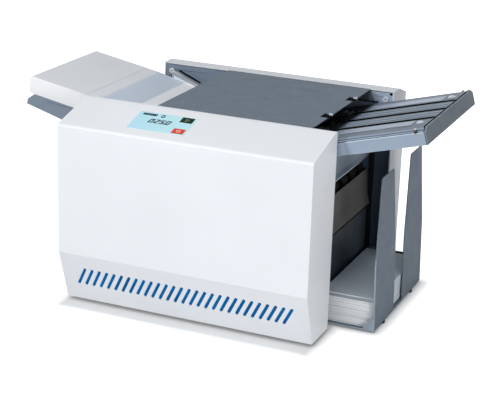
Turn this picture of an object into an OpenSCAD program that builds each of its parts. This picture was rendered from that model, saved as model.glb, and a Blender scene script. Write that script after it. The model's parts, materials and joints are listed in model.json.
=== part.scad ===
// Desk paper folding machine: infeed table on the left, fold plate and catch tray on the right.
// X runs with the paper, Y from the operator to the back, Z up. The machine stands on Z = 0.

/* [Housing] */
// Length of the housing in the feed direction
body_len = 420; // [400:1:440]
// Height of the housing above the desk
body_h = 322; // [312:1:332]
// Depth of the front cover
front_depth = 97; // [90:1:110]
// Clear width of the paper bay between the two covers
bay_w = 273; // [264:1:290]
// Depth of the rear cover
rear_depth = 68; // [64:1:80]
// Sheet thickness of the two covers
cover_wall = 2; // [1.5:0.1:3]
// Outside bend radius of the covers
cover_round = 5; // [4:0.5:8]
// Gap between the covers and the desk
cover_gap = 6; // [5:0.5:7]
// Height of the sloped kick face of the front cover
kick_h = 85; // [75:1:95]
// Set-back of the kick face at its foot
kick_in = 29; // [20:1:36]
// Drop of the sloped control panel from the top edge to the front face
panel_drop = 23; // [15:1:28]
// Flat strip along the top edge of the front cover
top_strip = 7; // [5:1:10]
// Flat strip along the top edge of the rear cover
rear_strip = 28; // [24:1:34]
// Drop of the sloped back edge of the rear cover
rear_drop = 14; // [8:1:18]

/* [Vents] */
// Number of slanted vent slots in the kick face
vent_count = 28; // [20:1:29]
// Distance between neighbouring vent slots
vent_pitch = 13; // [11:0.5:13.5]
// Width of a vent slot
vent_w = 5; // [3:0.5:6]
// Length of a vent slot between the centres of its round ends
vent_len = 34; // [24:1:38]
// Slant of a vent slot
vent_slant = 28; // [10:1:32]
// Height of the middle of the vent row up the kick face
vent_mid = 47; // [42:1:52]
// Thickness of the coloured liner behind the vents
liner_t = 1; // [0.8:0.1:2]
// Border of the liner around the vent row
liner_border = 8; // [5:1:10]

/* [Control panel] */
// Length of the touch screen
screen_w = 95; // [80:1:110]
// Depth of the touch screen up the sloped panel
screen_d = 53; // [45:1:60]
// Thickness of the touch screen
screen_t = 1.2; // [0.8:0.1:1.6]
// How far the touch screen stands proud of the panel
screen_proud = 0.3; // [0.2:0.1:0.5]
// Middle of the touch screen from the left end of the housing
screen_x = 156; // [120:1:220]
// Middle of the touch screen up the sloped panel
screen_s = 48; // [44:1:52]
// Length of the standoffs under the circuit boards
standoff = 8; // [5:1:10]
// Thickness of the circuit boards
board_t = 1.6; // [1:0.2:2]

/* [Chassis] */
// Thickness of the two side frames
frame_t = 3; // [2:0.5:4]
// Set-back of the side frames from the cover edges
frame_set = 1; // [0.5:0.5:2]
// Thickness of the base pan
pan_t = 3; // [2:0.5:4]
// Height of the rubber feet
foot_h = 8; // [7:0.5:10]
// Radius of the rubber feet
foot_r = 11; // [8:0.5:13]
// Thickness of the folded inner sheets
sheet_t = 2; // [1.5:0.1:2.5]
// Radius of the tie bars
tie_r = 6; // [5:0.5:7]
// Radius of the hinge rod, cover rest and tie bar ends
rod_r = 4; // [3:0.5:4.5]
// Radius of the cover bolts
bolt_r = 2.5; // [2:0.5:3]
// Distance of the cover bolts from the ends and the top of the housing
bolt_inset = 14; // [12:1:16]

/* [Infeed] */
// Reach of the infeed table beyond the left end of the housing
infeed_over = 130; // [110:1:150]
// Slope of the infeed table
table_slope = 10.2; // [8:0.2:12]
// Drop from the top of the housing to the table at the left end of the housing
table_drop = 40; // [36:1:46]
// Width of the infeed table inside the housing
table_w = 246; // [236:1:250]
// Width of the infeed table outside the housing
infeed_w = 218; // [210:1:234]
// Width of the loaded sheets
sheet_w = 216; // [200:1:220]
// Height of the loaded stack
stack_h = 28.5; // [15:0.5:30]
// Gap between the stack and each side guide
guide_gap = 0.8; // [0.5:0.1:1.5]
// Thickness of the side guides
guide_t = 1.5; // [1:0.1:2]
// Middle of the feed roller from the left end of the housing
feed_x = 162; // [150:1:170]
// Radius of the feed tyres
feed_r = 18; // [16:0.5:19]
// Height of the feed nip above the table
feed_nip = 11.5; // [10:0.5:13]

/* [Rollers] */
// Radius of the fold rollers
fold_r = 15.95; // [15:0.05:16.5]
// Radius of the press rollers
press_r = 14.85; // [14:0.05:15.5]
// Gap between neighbouring rollers
roll_gap = 0.3; // [0.3:0.05:0.5]
// Radius of the roller shafts
shaft_r = 5; // [4:0.5:6]
// Outer radius of the bearing bushes
bush_r = 8; // [7:0.5:9]
// Teeth of each roller gear
gear_teeth = 20; // [18:1:24]
// Width of a gear
gear_w = 10; // [8:1:12]
// Width of a drive belt
belt_w = 8; // [6:0.5:9]
// Thickness of a drive belt
belt_t = 1.6; // [1.2:0.1:2]
// Running radius of the feed pulleys
feed_pulley_r = 14; // [11:0.5:15]
// Running radius of the press roller's pulley
press_pulley_r = 13; // [11:0.5:14]
// Running radius of the drive pulley
drive_pulley_r = 27; // [22:0.5:30]
// Running radius of the motor pulley
motor_pulley_r = 9; // [8:0.5:12]
// Radius of the motor
motor_r = 32; // [26:1:36]
// Length of the motor
motor_len = 80; // [60:1:100]

/* [Fold plate] */
// Slope of the upper fold plate
fold_angle = 15.2; // [12:0.2:16]
// Drop from the top of the housing to the rail's top edge at the right end of the housing
fold_drop = 19; // [16:0.2:20]
// Reach of the fold plate beyond the right end of the housing, along its slope
fold_over = 137; // [115:1:160]
// Width of the fold plate over its rails
fold_w = 265; // [256:1:268]
// Height of the side rails
rail_h = 19; // [14:0.5:20]
// Height of the slotted panel above the rails
panel_h = 6; // [5.5:0.5:9]
// Distance between neighbouring slots
slot_pitch = 57.5; // [50:0.5:64]
// Width of a slot
slot_w = 11; // [9:0.5:13]
// Width of the pale scale strips
scale_w = 29; // [20:1:30]

/* [Exit and tray] */
// Set-back of the exit wall from the right end of the housing
exit_set = 38; // [34:1:44]
// Drop from the top of the housing to the exit nip
exit_drop = 124; // [118:1:128]
// Height of the exit slot
exit_slot = 25; // [20:1:28]
// Width of the catch tray
tray_w = 243; // [235:1:250]
// Offset of the catch tray from the middle of the bay towards the back
tray_shift = 11.5; // [0:0.5:13]
// Reach of the catch tray beyond the right end of the housing
tray_over = 67; // [60:1:90]
// Height of the catch tray's fins
fin_h = 243; // [200:1:260]
// Width of a fin at its foot
fin_w = 98; // [80:1:105]
// Width of a fin at its top
fin_top = 57; // [40:1:70]
// Height at which a fin starts to narrow
fin_straight = 108; // [80:1:140]
// Backward lean of the fins
fin_lean = 1.7; // [0:0.1:2]
// Height of the catch tray's rear wall
tray_wall_h = 44; // [25:1:60]
// Height of the folded stack in the tray
folded_h = 43; // [10:1:60]
// Length of a folded sheet
folded_len = 91; // [80:1:91]

/* [Fits] */
// Clearance of a shaft or bolt in its hole, on the radius
fit = 0.05; // [0.02:0.01:0.08]
// Gap between pieces that run past each other
run_gap = 0.3; // [0.3:0.05:0.5]

/* [Hidden] */
$fn = 48;

// Colours of the painted, bare and soft pieces
white_paint = "#eef1f4";
grey_paint = "#6c7a86";
dark_paint = "#555f69";
plate_paint = "#98a8b6";
frame_paint = "#7d8ca0";
vent_blue = "#0069aa";
bare_steel = "#b8bcc0";
black_part = "#26282b";
paper_white = "#f4f5f7";

// Depth positions, from the front face backwards
bay_y0 = front_depth;
bay_y1 = front_depth + bay_w;
bay_mid = (bay_y0 + bay_y1) / 2;
depth = bay_y1 + rear_depth;
frame_y0 = bay_y0 - frame_set;
frame_y1 = bay_y1 + frame_set;
frame_gap = 0.5;
front_out = frame_y0 - frame_t;
rear_out = frame_y1 + frame_t;

// Heights and slopes of the housing
pan_top = foot_h + pan_t;
frame_top = body_h - cover_wall - frame_gap;
frame_x0 = cover_wall + frame_gap;
frame_x1 = body_len - cover_wall - frame_gap;
panel_angle = atan(panel_drop / (front_depth - top_strip));
kick_angle = atan(kick_in / kick_h);

// Bearing and drive planes outside the frames
bush_flange_t = 2;
bush_flange_r = bush_r + 2;
bush_out = 4;
plane_gap = 1.5;
pulley_rim = 1.2;
pulley_side = 0.4;
pulley_lip = 2.5;
pulley_w = belt_w + 2 * (pulley_rim + pulley_side);
gear_y = rear_out + bush_out + plane_gap;
press_belt_y = gear_y + gear_w + plane_gap;
drive_belt_y = press_belt_y + pulley_w + plane_gap;
feed_belt_y = front_out - bush_out - plane_gap - pulley_w;
roller_y0 = frame_y0 + bush_flange_t + plane_gap;
roller_y1 = frame_y1 - bush_flange_t - plane_gap;

// Fold plate frame: u runs up the slope from the right end of the housing, w stands square to it
fold_ref = [body_len, body_h - fold_drop];
fold_dir = [cos(fold_angle), sin(fold_angle)];
fold_up = [-sin(fold_angle), cos(fold_angle)];
function fold_point(u, w) = fold_ref + u * fold_dir + w * fold_up;
fold_y0 = bay_mid - fold_w / 2;
fold_y1 = bay_mid + fold_w / 2;
end_wall_t = 2;
end_groove = 2.5;
rail_back = 74;
rail_u0 = -rail_back;
rail_cap_u0 = 10;
trim_back = 21;
trim_u0 = -trim_back;
plate_back = 114;
plate_u0 = -plate_back;
panel_back = 107;
panel_u0 = -panel_back;
panel_u1 = fold_over - end_wall_t - end_groove;
slot_back = 94;
slot_u0 = -slot_back;
slot_end = 2;
slot_u1 = panel_u1 - slot_end;
rail_flange = 9;
plate_t = 1.5;
panel_t = 2;
panel_inset = 5;

// Roller axes in the X-Z plane
fold_pitch = 2 * fold_r + roll_gap;
press_pitch = 2 * press_r + roll_gap;
exit_x = body_len - exit_set;
exit_z = body_h - exit_drop;
nip_back = 139;
nip_lift = 1.75;
nip_point = fold_point(-nip_back, nip_lift);
axis_1 = nip_point + fold_up * fold_pitch / 2;
axis_2 = nip_point - fold_up * fold_pitch / 2;
angle_23 = -15;
angle_34 = -95;
axis_3 = axis_2 + fold_pitch * [cos(angle_23), sin(angle_23)];
axis_4 = axis_3 + fold_pitch * [cos(angle_34), sin(angle_34)];
press_set = 21;
press_up = [exit_x - press_set, exit_z + press_pitch / 2];
press_low = [exit_x - press_set, exit_z - press_pitch / 2];

// Infeed table plane
function table_z(x) = body_h - table_drop - x * tan(table_slope);
function table_under(x) = table_z(x) - sheet_t / cos(table_slope);
table_y0 = bay_mid - table_w / 2;
table_y1 = bay_mid + table_w / 2;
infeed_y0 = bay_mid - infeed_w / 2;
infeed_y1 = bay_mid + infeed_w / 2;
table_bend = 14;
table_end = feed_x + 12;
lip_drop = 9;
lip_h = 8.5;
lip_run = 1.5;
sheet_y0 = bay_mid - sheet_w / 2;
sheet_y1 = bay_mid + sheet_w / 2;
feed_axis = [feed_x, table_z(feed_x) + feed_nip + feed_r];

// Top cover, its hinge rod and its rest
cover_x0 = 122;
cover_lip = 10;
cover_x1 = exit_x - 3;
cheek_len = 30;
cheek_drop = 19;
cheek_lean = 9;
cover_hem = 6;
cover_side_gap = 1;
hinge_boss_r = 8;
hinge_axis = [cover_x0 + sheet_t + run_gap + hinge_boss_r, body_h - 14];
rest_axis = [exit_x - 42, body_h - cover_hem - run_gap - rod_r];
notch_len = 13;
notch_w = slot_w + 15;

// Tie bars between the frames
table_tie_x = 110;
table_tie = [table_tie_x, table_under(table_tie_x) - (tie_r + run_gap) / cos(table_slope)];
tie_points = [[40, 60], [exit_x - 42, 60], table_tie];
rod_points = [hinge_axis, rest_axis];
roller_axes = [axis_1, axis_2, axis_3, axis_4, press_up, press_low, feed_axis];
low_bolt_z = 36;
bolt_points = [for (x = [bolt_inset, body_len - bolt_inset], z = [low_bolt_z, body_h - bolt_inset]) [x, z]];
bolt_head_r = 4.5;
bolt_head_t = 3;
bolt_len = 20;
lug_len = 16;
lug_half = 6;

// Motor
motor_axis = [axis_2[0] - 89, 110];
motor_pilot_r = 11;
motor_pilot_t = 2;
motor_shaft_r = 4;

// Catch tray
tray_y0 = bay_mid + tray_shift - tray_w / 2;
tray_y1 = bay_mid + tray_shift + tray_w / 2;
tray_z = 3;
tray_x0 = exit_x - 97;
tray_x1 = body_len + tray_over;
folded_y0 = bay_mid + tray_shift / 2 - (sheet_w - 1) / 2;
folded_x0 = exit_x + 10;
runner_lip = 8;
runner_t = 1;
runner_web = 3.5;

mid_x = (fold_point(fold_over, -rail_h)[0] - infeed_over) / 2;
mid_y = depth / 2;

// Plane geometry
function unit(v) = v / norm(v);
function left_of(v) = [-v[1], v[0]];
function reversed(p) = [for (i = [len(p) - 1:-1:0]) p[i]];
function turn(d) = d > 180 ? d - 360 : d < -180 ? d + 360 : d;
function polar(r, a) = r * [cos(a), sin(a)];

// Arc of radius r in place of the corner b between a and c
function arc_corner(a, b, c, r, n) = r <= 0 ? [b] :
    let (
        u = unit(a - b),
        v = unit(c - b),
        half = acos(u * v) / 2,
        mid = b + unit(u + v) * r / sin(half),
        from = b + u * r / tan(half) - mid,
        to = b + v * r / tan(half) - mid,
        a0 = atan2(from[1], from[0]),
        da = turn(atan2(to[1], to[0]) - a0)
    ) [for (i = [0:n]) mid + polar(r, a0 + da * i / n)];
function rounded(p, radii, n = 5) = let (m = len(p))
    [for (i = [0:m - 1]) each arc_corner(p[(i + m - 1) % m], p[i], p[(i + 1) % m], radii[i], n)];

// Anticlockwise outline moved inwards by d[i] along the edge that starts at point i
function inset(p, d) = let (m = len(p)) [for (i = [0:m - 1])
    let (
        nu = left_of(unit(p[i] - p[(i + m - 1) % m])),
        nv = left_of(unit(p[(i + 1) % m] - p[i])),
        du = d[(i + m - 1) % m],
        dv = d[i]
    ) p[i] + (du * [nv[1], -nv[0]] - dv * [nu[1], -nu[0]]) / (nu[0] * nv[1] - nu[1] * nv[0])];

// Folded sheet along an open path, t thick to the left of the path
function mitre(a, b) = let (n = left_of(a) + left_of(b)) n * 2 / (n * n);
function side_dir(p, i) = let (last = len(p) - 1)
    i == 0 ? left_of(unit(p[1] - p[0])) :
    i == last ? left_of(unit(p[last] - p[last - 1])) :
    mitre(unit(p[i] - p[i - 1]), unit(p[i + 1] - p[i]));
function strip(p, t) = concat(p, reversed([for (i = [0:len(p) - 1]) p[i] + t * side_dir(p, i)]));

// Involute gear outline; a tooth is centred on the phase angle
pressure_angle = 20;
tooth_play = 0.12;
function involute(a) = tan(a) * 180 / PI - a;
function tooth_half(r, rp, teeth) = let (rb = rp * cos(pressure_angle))
    90 / teeth + involute(pressure_angle) - involute(acos(min(1, rb / r))) - tooth_play / rp * 180 / PI;
function gear_outline(teeth, rp, phase) =
    let (
        m = 2 * rp / teeth,
        root = rp - 1.25 * m,
        low = rp * cos(pressure_angle) + 0.02 * m,
        tip = rp + 0.95 * m,
        radii = [low, rp - 0.4 * m, rp + 0.3 * m, tip],
        half = [for (r = radii) tooth_half(r, rp, teeth)]
    ) [for (k = [0:teeth - 1]) let (c = phase + k * 360 / teeth) each concat(
        [polar(root, c - half[0])],
        [for (i = [0:3]) polar(radii[i], c - half[i])],
        [for (i = [3:-1:0]) polar(radii[i], c + half[i])],
        [polar(root, c + half[0])])];
// Phase of an equal gear that meshes along the angle line from a gear with the given phase
function meshed(line, phase) = 2 * line + 180 - phase - 180 / gear_teeth;
function heading(a, b) = atan2(b[1] - a[1], b[0] - a[0]);
phase_1 = 0;
phase_2 = meshed(heading(axis_1, axis_2), phase_1);
phase_3 = meshed(angle_23, phase_2);
phase_4 = meshed(angle_34, phase_3);
phase_low = meshed(heading(press_up, press_low), 0);

// Solids placed by their X-Z or Y-Z outline
module along_y(y0, y1) { translate([0, y1, 0]) rotate([90, 0, 0]) linear_extrude(y1 - y0) children(); }
module along_x(x0, x1) { translate([x0, 0, 0]) rotate([90, 0, 90]) linear_extrude(x1 - x0) children(); }
module rod_y(p, r, y0, y1) { translate([p[0], y1, p[1]]) rotate([90, 0, 0]) cylinder(r = r, h = y1 - y0); }
module sheet(path, t, y0, y1) { along_y(y0, y1) polygon(strip(path, t)); }
module on_kick() { translate([0, kick_in, cover_gap]) rotate([90 + kick_angle, 0, 0]) children(); }
module on_panel() { translate([0, 0, body_h - panel_drop]) rotate([panel_angle, 0, 0]) children(); }
module on_fold_plate() {
    translate([fold_ref[0], 0, fold_ref[1]]) rotate([0, -fold_angle, 0]) children();
}
module mirrored_y() { translate([0, 2 * bay_mid, 0]) mirror([0, 1, 0]) children(); }
module both_sides() {
    children();
    mirrored_y() children();
}
module slot_shape(len, w) {
    square([w, len], center = true);
    for (s = [-1, 1]) translate([0, s * len / 2]) circle(d = w);
}

// Covers
front_profile = [[kick_in, cover_gap], [front_depth, cover_gap], [front_depth, body_h],
    [front_depth - top_strip, body_h], [0, body_h - panel_drop], [0, cover_gap + kick_h]];
rear_profile = [[bay_y1, cover_gap], [depth, cover_gap], [depth, body_h - rear_drop],
    [bay_y1 + rear_strip, body_h], [bay_y1, body_h]];
open_edge = -1;

module cover_shell(profile, walls, radii) {
    inner_radii = [for (r = radii) max(0, r - cover_wall)];
    difference() {
        along_x(0, body_len) polygon(rounded(profile, radii));
        along_x(cover_wall, body_len - cover_wall) polygon(rounded(inset(profile, walls), inner_radii));
    }
}

// Lugs that take the cover bolts, y0 to y1 deep, one at each bolt
module cover_lugs(y0, y1) {
    reach = bolt_inset + lug_half - cover_wall / 2;
    for (b = bolt_points, left = [b[0] < body_len / 2])
        difference() {
            translate([left ? cover_wall / 2 : body_len - cover_wall / 2 - reach, y0, b[1] - lug_half])
                cube([reach, y1 - y0, 2 * lug_half]);
            rod_y(b, bolt_r + fit, y0 - 1, y1 + 1);
        }
}

module vent_slots(depth_n) {
    on_kick()
        translate([body_len / 2, vent_mid, -depth_n / 2])
            linear_extrude(depth_n)
                for (i = [0:vent_count - 1])
                    translate([(i - (vent_count - 1) / 2) * vent_pitch, 0])
                        rotate(-vent_slant) slot_shape(vent_len, vent_w);
}

module screen_block(grow, proud) {
    sunk = screen_t - screen_proud;
    on_panel()
        translate([screen_x - screen_w / 2 - grow, screen_s - screen_d / 2 - grow, -sunk])
            cube([screen_w + 2 * grow, screen_d + 2 * grow, sunk + proud]);
}

module front_cover() {
    w = cover_wall;
    r = cover_round;
    color(white_paint) difference() {
        union() {
            cover_shell(front_profile, [open_edge, open_edge, w, w, w, w], [0, 0, 0, r, r, r]);
            cover_lugs(front_out - lug_len, front_out);
        }
        vent_slots(6 * cover_wall);
        screen_block(0.2, screen_t);
    }
}

module vent_liner() {
    slope = cos(vent_slant);
    w = (vent_count - 1) * vent_pitch + vent_len * sin(vent_slant) + vent_w + 2 * liner_border;
    h = vent_len * slope + vent_w + 2 * liner_border;
    color(vent_blue) on_kick()
        translate([body_len / 2 - w / 2, vent_mid - h / 2, -cover_wall - liner_t]) cube([w, h, liner_t]);
}

module touch_screen() {
    color("#b0e0f0") screen_block(0, screen_proud);
}

// Circuit board on four standoffs, with its parts standing on the far side
module board(len, wide, parts) {
    corner = 5;
    translate([0, 0, standoff]) cube([len, wide, board_t]);
    for (x = [corner, len - corner], y = [corner, wide - corner])
        translate([x, y, 0]) cylinder(r = 3, h = standoff + board_t / 2);
    for (p = parts)
        translate([p[0], p[1], standoff + board_t / 2]) cube([p[2], p[3], board_t / 2 + p[4]]);
}

module control_board() {
    len = 84;
    wide = 44;
    color("#2f6b45") on_panel()
        translate([screen_x - len / 2, screen_s + wide / 2, -cover_wall]) rotate([180, 0, 0])
            board(len, wide, [[14, 10, 18, 18, 3], [42, 8, 10, 26, 5], [60, 12, 14, 8, 8]]);
}

module rear_cover() {
    w = cover_wall;
    r = cover_round;
    color(white_paint) difference() {
        union() {
            cover_shell(rear_profile, [open_edge, w, w, w, open_edge], [0, 0, r, r, 0]);
            cover_lugs(rear_out, rear_out + lug_len);
        }
        inlet_box(inlet_window, -1, cover_wall + 1);
    }
}

// Chassis
module side_frame(y0, outward) {
    foot_depth = 22;
    difference() {
        union() {
            translate([frame_x0, y0, pan_top]) cube([frame_x1 - frame_x0, frame_t, frame_top - pan_top]);
            translate([frame_x0 + 10, outward < 0 ? y0 - foot_depth : y0, pan_top])
                cube([frame_x1 - frame_x0 - 20, foot_depth + frame_t, frame_t]);
        }
        for (p = roller_axes) rod_y(p, bush_r + fit, y0 - 1, y0 + frame_t + 1);
        for (p = concat(tie_points, rod_points)) rod_y(p, rod_r + fit, y0 - 1, y0 + frame_t + 1);
        for (p = bolt_points) rod_y(p, bolt_r + fit, y0 - 1, y0 + frame_t + 1);
    }
}

module front_frame() { color(frame_paint) side_frame(front_out, -1); }

module rear_frame() {
    color(frame_paint) difference() {
        side_frame(frame_y1, 1);
        rod_y(motor_axis, motor_pilot_r + fit, frame_y1 - 1, rear_out + 1);
    }
}

// Base pan with a cut-away for the folded stack, and the runners of the catch tray below it
module base_pan() {
    wing = 26;
    x0 = frame_x0 + 2;
    x1 = frame_x1 - 2;
    cut_x = exit_x + 5;
    y0 = bay_y0 - wing;
    y1 = bay_y1 + wing;
    web_y = run_gap + runner_web;
    lip_z = tray_z - run_gap - runner_t;
    color(dark_paint) {
        translate([0, 0, foot_h]) linear_extrude(pan_t)
            polygon([[x0, y0], [x1, y0], [x1, bay_y0], [cut_x, bay_y0], [cut_x, bay_y1], [x1, bay_y1],
                [x1, y1], [x0, y1]]);
        for (side = [0, 1]) {
            translate([tray_x0, side == 0 ? tray_y0 - web_y : tray_y1 + run_gap, lip_z])
                cube([cut_x - tray_x0, runner_web, foot_h + pan_t / 2 - lip_z]);
            translate([tray_x0, side == 0 ? tray_y0 - web_y : tray_y1 + web_y - runner_lip, lip_z])
                cube([cut_x - tray_x0, runner_lip, runner_t]);
        }
    }
}

module machine_feet() {
    inset_x = 16;
    color(black_part)
        for (x = [inset_x, body_len - inset_x], y = [bay_y0 - foot_r, bay_y1 + foot_r])
            translate([x, y, 0]) rotate_extrude()
                polygon(rounded([[0, 0], [foot_r - 2, 0], [foot_r, foot_h], [0, foot_h]], [0, 1.5, 0, 0]));
}

tie_stub = 5;
module tie_bars() {
    color(bare_steel) {
        for (p = tie_points) {
            rod_y(p, tie_r, frame_y0, frame_y1);
            rod_y(p, rod_r, front_out - tie_stub, rear_out + tie_stub);
        }
        for (p = rod_points) rod_y(p, rod_r, front_out - tie_stub, rear_out + tie_stub);
    }
}

// Cover bolts with their heads in the bay, and the nuts on the tie bars
module fasteners() {
    nut_r = rod_r + 3;
    nut_t = tie_stub - 1;
    color(bare_steel) {
        for (p = bolt_points) both_sides() {
            rod_y(p, bolt_r, frame_y0 - bolt_len, frame_y0 + bolt_head_t / 2);
            rod_y(p, bolt_head_r, frame_y0, frame_y0 + bolt_head_t);
        }
        for (p = concat(tie_points, rod_points)) both_sides()
            difference() {
                translate([p[0], front_out, p[1]]) rotate([90, 0, 0])
                    cylinder(r = nut_r, h = nut_t, $fn = 6);
                rod_y(p, rod_r + fit, front_out - tie_stub - 1, front_out + 1);
            }
    }
}

// Top cover, hinged at the feed end; a cheek hangs at each side of its open right end, and its notches let
// the stop's carriages pass
module top_cover() {
    y0 = bay_y0 + cover_side_gap;
    y1 = bay_y1 - cover_side_gap;
    path = [[cover_x0, body_h - cover_lip], [cover_x0, body_h], [cover_x1, body_h]];
    low = body_h - cheek_drop;
    high = body_h - sheet_t / 2;
    color(grey_paint) difference() {
        union() {
            sheet(path, -sheet_t, y0, y1);
            for (y = [y0, y1 - sheet_t]) {
                translate([cover_x0 + sheet_t / 2, y, body_h - cover_hem])
                    cube([cover_x1 - cheek_len / 2 - cover_x0, sheet_t, cover_hem - sheet_t / 2]);
                along_y(y, y + sheet_t)
                    polygon([[cover_x1 + cheek_lean - cheek_len, low], [cover_x1 + cheek_lean, low],
                        [cover_x1, high], [cover_x1 - cheek_len, high]]);
            }
        }
        for (y = [bay_mid - slot_pitch, bay_mid + slot_pitch])
            translate([cover_x1 - notch_len, y - notch_w / 2, body_h - 2 * sheet_t])
                cube([2 * notch_len, notch_w, 3 * sheet_t]);
    }
}

module cover_hinges() {
    half_y = 3;
    color(black_part)
        for (y = [bay_mid - 85, bay_mid + 85])
            difference() {
                union() {
                    rod_y(hinge_axis, hinge_boss_r, y - half_y, y + half_y);
                    translate([hinge_axis[0] - hinge_boss_r, y - half_y, hinge_axis[1]])
                        cube([2 * hinge_boss_r, 2 * half_y, body_h - sheet_t - hinge_axis[1]]);
                }
                rod_y(hinge_axis, rod_r + fit, y - half_y - 1, y + half_y + 1);
            }
}

// Infeed
module end_panel() {
    x = frame_x0 + 2;
    color(dark_paint)
        sheet([[x, pan_top], [x, table_under(x)], [x + 20, table_under(x + 20)]], -sheet_t, frame_y0,
            frame_y1);
}

module infeed_table() {
    bend_x = table_bend - infeed_over;
    lip_z = table_z(bend_x) - lip_drop;
    tip = [-infeed_over, lip_z - lip_h];
    skirt_x = frame_x0 - 1;
    path = [tip, [lip_run - infeed_over, lip_z], [bend_x, table_z(bend_x)],
        [skirt_x + 10, table_z(skirt_x + 10)]];
    bed = [[frame_x0, table_z(frame_x0)], [table_end, table_z(table_end)]];
    skirt_h = 34;
    skirt = [tip, [skirt_x, table_z(skirt_x) - skirt_h], [skirt_x, table_z(skirt_x) - sheet_t / 2],
        [bend_x, table_z(bend_x) - sheet_t / 2], [lip_run - infeed_over + sheet_t / 2, lip_z - sheet_t / 2]];
    color(grey_paint) {
        sheet(path, -sheet_t, infeed_y0, infeed_y1);
        sheet(bed, -sheet_t, table_y0, table_y1);
        both_sides() along_y(infeed_y0, infeed_y0 + sheet_t) polygon(skirt);
    }
}

// Side guide: upright plate along the stack, hem on top, foot on the table
module rear_side_guide() {
    y = sheet_y1 + guide_gap;
    x0 = 27;
    x1 = cover_x0 + 12;
    tall = 36;
    low = 19;
    window_drop = 5;
    window_h = 4;
    top = [[x0, table_z(x0) + tall], [x1, table_z(x1) + low]];
    foot = [[x0 + 6, table_z(x0 + 6) + run_gap], [x1 - 6, table_z(x1 - 6) + run_gap]];
    color(bare_steel) {
        along_y(y, y + guide_t) difference() {
            polygon([[x0, table_z(x0) + run_gap], [x1, table_z(x1) + run_gap], top[1], top[0]]);
            polygon([for (q = [[0.06, 0], [0.94, 0], [0.94, window_h], [0.06, window_h]])
                top[0] + q[0] * (top[1] - top[0]) - [0, window_drop + q[1]]]);
        }
        sheet(top, -guide_t, y + guide_t / 2, y + guide_t + 8);
        sheet(foot, guide_t, y + guide_t / 2, y + guide_t + 9);
    }
}

module front_side_guide() { mirrored_y() rear_side_guide(); }

// Loaded sheets, fanned down towards the feed nip
module paper_stack() {
    left = table_bend - infeed_over - 2;
    nip_play = 1.5;
    step = 0.3;
    shoulder = 0.78 * stack_h;
    fan = [[-25, stack_h], [-25, stack_h - step], [2, stack_h - step], [2, stack_h - 2 * step],
        [16, stack_h - 2 * step], [69, shoulder], [69, shoulder - step], [feed_x, feed_nip - nip_play]];
    front = feed_x + 10;
    color(paper_white) along_y(sheet_y0, sheet_y1)
        polygon(concat([[left - 2, table_z(left - 2) + fit], [front, table_z(front) + fit]],
            [for (p = reversed(fan)) [p[0], table_z(p[0]) + p[1]]],
            [[left, table_z(left) + stack_h]]));
}

tyre_t = 6;
tyre_w = 30;
tyre_pitch = 60;
tyre_ys = [for (i = [-1:1]) bay_mid + i * tyre_pitch];
module feed_shaft() {
    color(bare_steel) {
        rod_y(feed_axis, shaft_r, feed_belt_y - 2, rear_out + bush_out + 2);
        for (y = tyre_ys) rod_y(feed_axis, feed_r - tyre_t - fit, y - tyre_w / 2, y + tyre_w / 2);
    }
}

module feed_tyres() {
    color(black_part)
        for (y = tyre_ys)
            difference() {
                rod_y(feed_axis, feed_r, y - tyre_w / 2, y + tyre_w / 2);
                rod_y(feed_axis, feed_r - tyre_t, y - tyre_w / 2 - 1, y + tyre_w / 2 + 1);
            }
}

// Guide from the table's end to the first fold nip
guide_x = table_end + 1.5;
guide_lift = [guide_x, table_z(guide_x) + 6];
guide_ramp = guide_lift + [14, 4];
guide_end = nip_point - (fold_r + 5) * fold_dir - 1.5 * fold_up;
module feed_guide() {
    path = [[guide_x, table_z(guide_x) - 14], guide_lift, guide_ramp, guide_end];
    color(bare_steel) sheet(path, -sheet_t, frame_y0, frame_y1);
}

module separator_pad() {
    pad_w = 40;
    pad_t = 3;
    color("#8a4b2c") sheet([guide_lift + [1, 2 / 7], guide_ramp - [1, 2 / 7]], pad_t, bay_mid - pad_w / 2,
        bay_mid + pad_w / 2);
}

// Rollers
module roller(axis, r, y0, y1) {
    rod_y(axis, shaft_r, y0, y1);
    rod_y(axis, r, roller_y0, roller_y1);
}

shaft_front = front_out - bush_out - 2;
shaft_rear = gear_y + gear_w + 0.5;
module fold_roller_1() { color(bare_steel) roller(axis_1, fold_r, feed_belt_y - 2, shaft_rear); }
module fold_roller_2() { color(bare_steel) roller(axis_2, fold_r, shaft_front, drive_belt_y + pulley_w + 2); }
module fold_roller_3() {
    color(bare_steel) roller(axis_3, fold_r, shaft_front, press_belt_y + pulley_w + 0.5);
}
module fold_roller_4() { color(bare_steel) roller(axis_4, fold_r, shaft_front, shaft_rear); }

// Press rollers: the lower one carries spaced wheels that show in the exit slot
module press_roller_upper() {
    color(bare_steel) roller(press_up, press_r, shaft_front, press_belt_y + pulley_w + 0.5);
}

module press_roller_lower() {
    wheels = 7;
    wheel_w = 22;
    step = (roller_y1 - roller_y0 - wheel_w) / (wheels - 1);
    color(black_part) {
        roller(press_low, press_r - 4, shaft_front, shaft_rear);
        for (i = [0:wheels - 1])
            rod_y(press_low, press_r, roller_y0 + i * step, roller_y0 + i * step + wheel_w);
    }
}

// Gears and pulleys
module gear_blank(axis, rp, phase, y0) {
    translate([axis[0], y0 + gear_w, axis[1]]) rotate([90, 0, 0])
        linear_extrude(gear_w) polygon(gear_outline(gear_teeth, rp, phase));
}

module gear(axis, rp, phase, y0) {
    difference() {
        gear_blank(axis, rp, phase, y0);
        rod_y(axis, shaft_r + fit, y0 - 1, y0 + gear_w + 1);
    }
}

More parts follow.
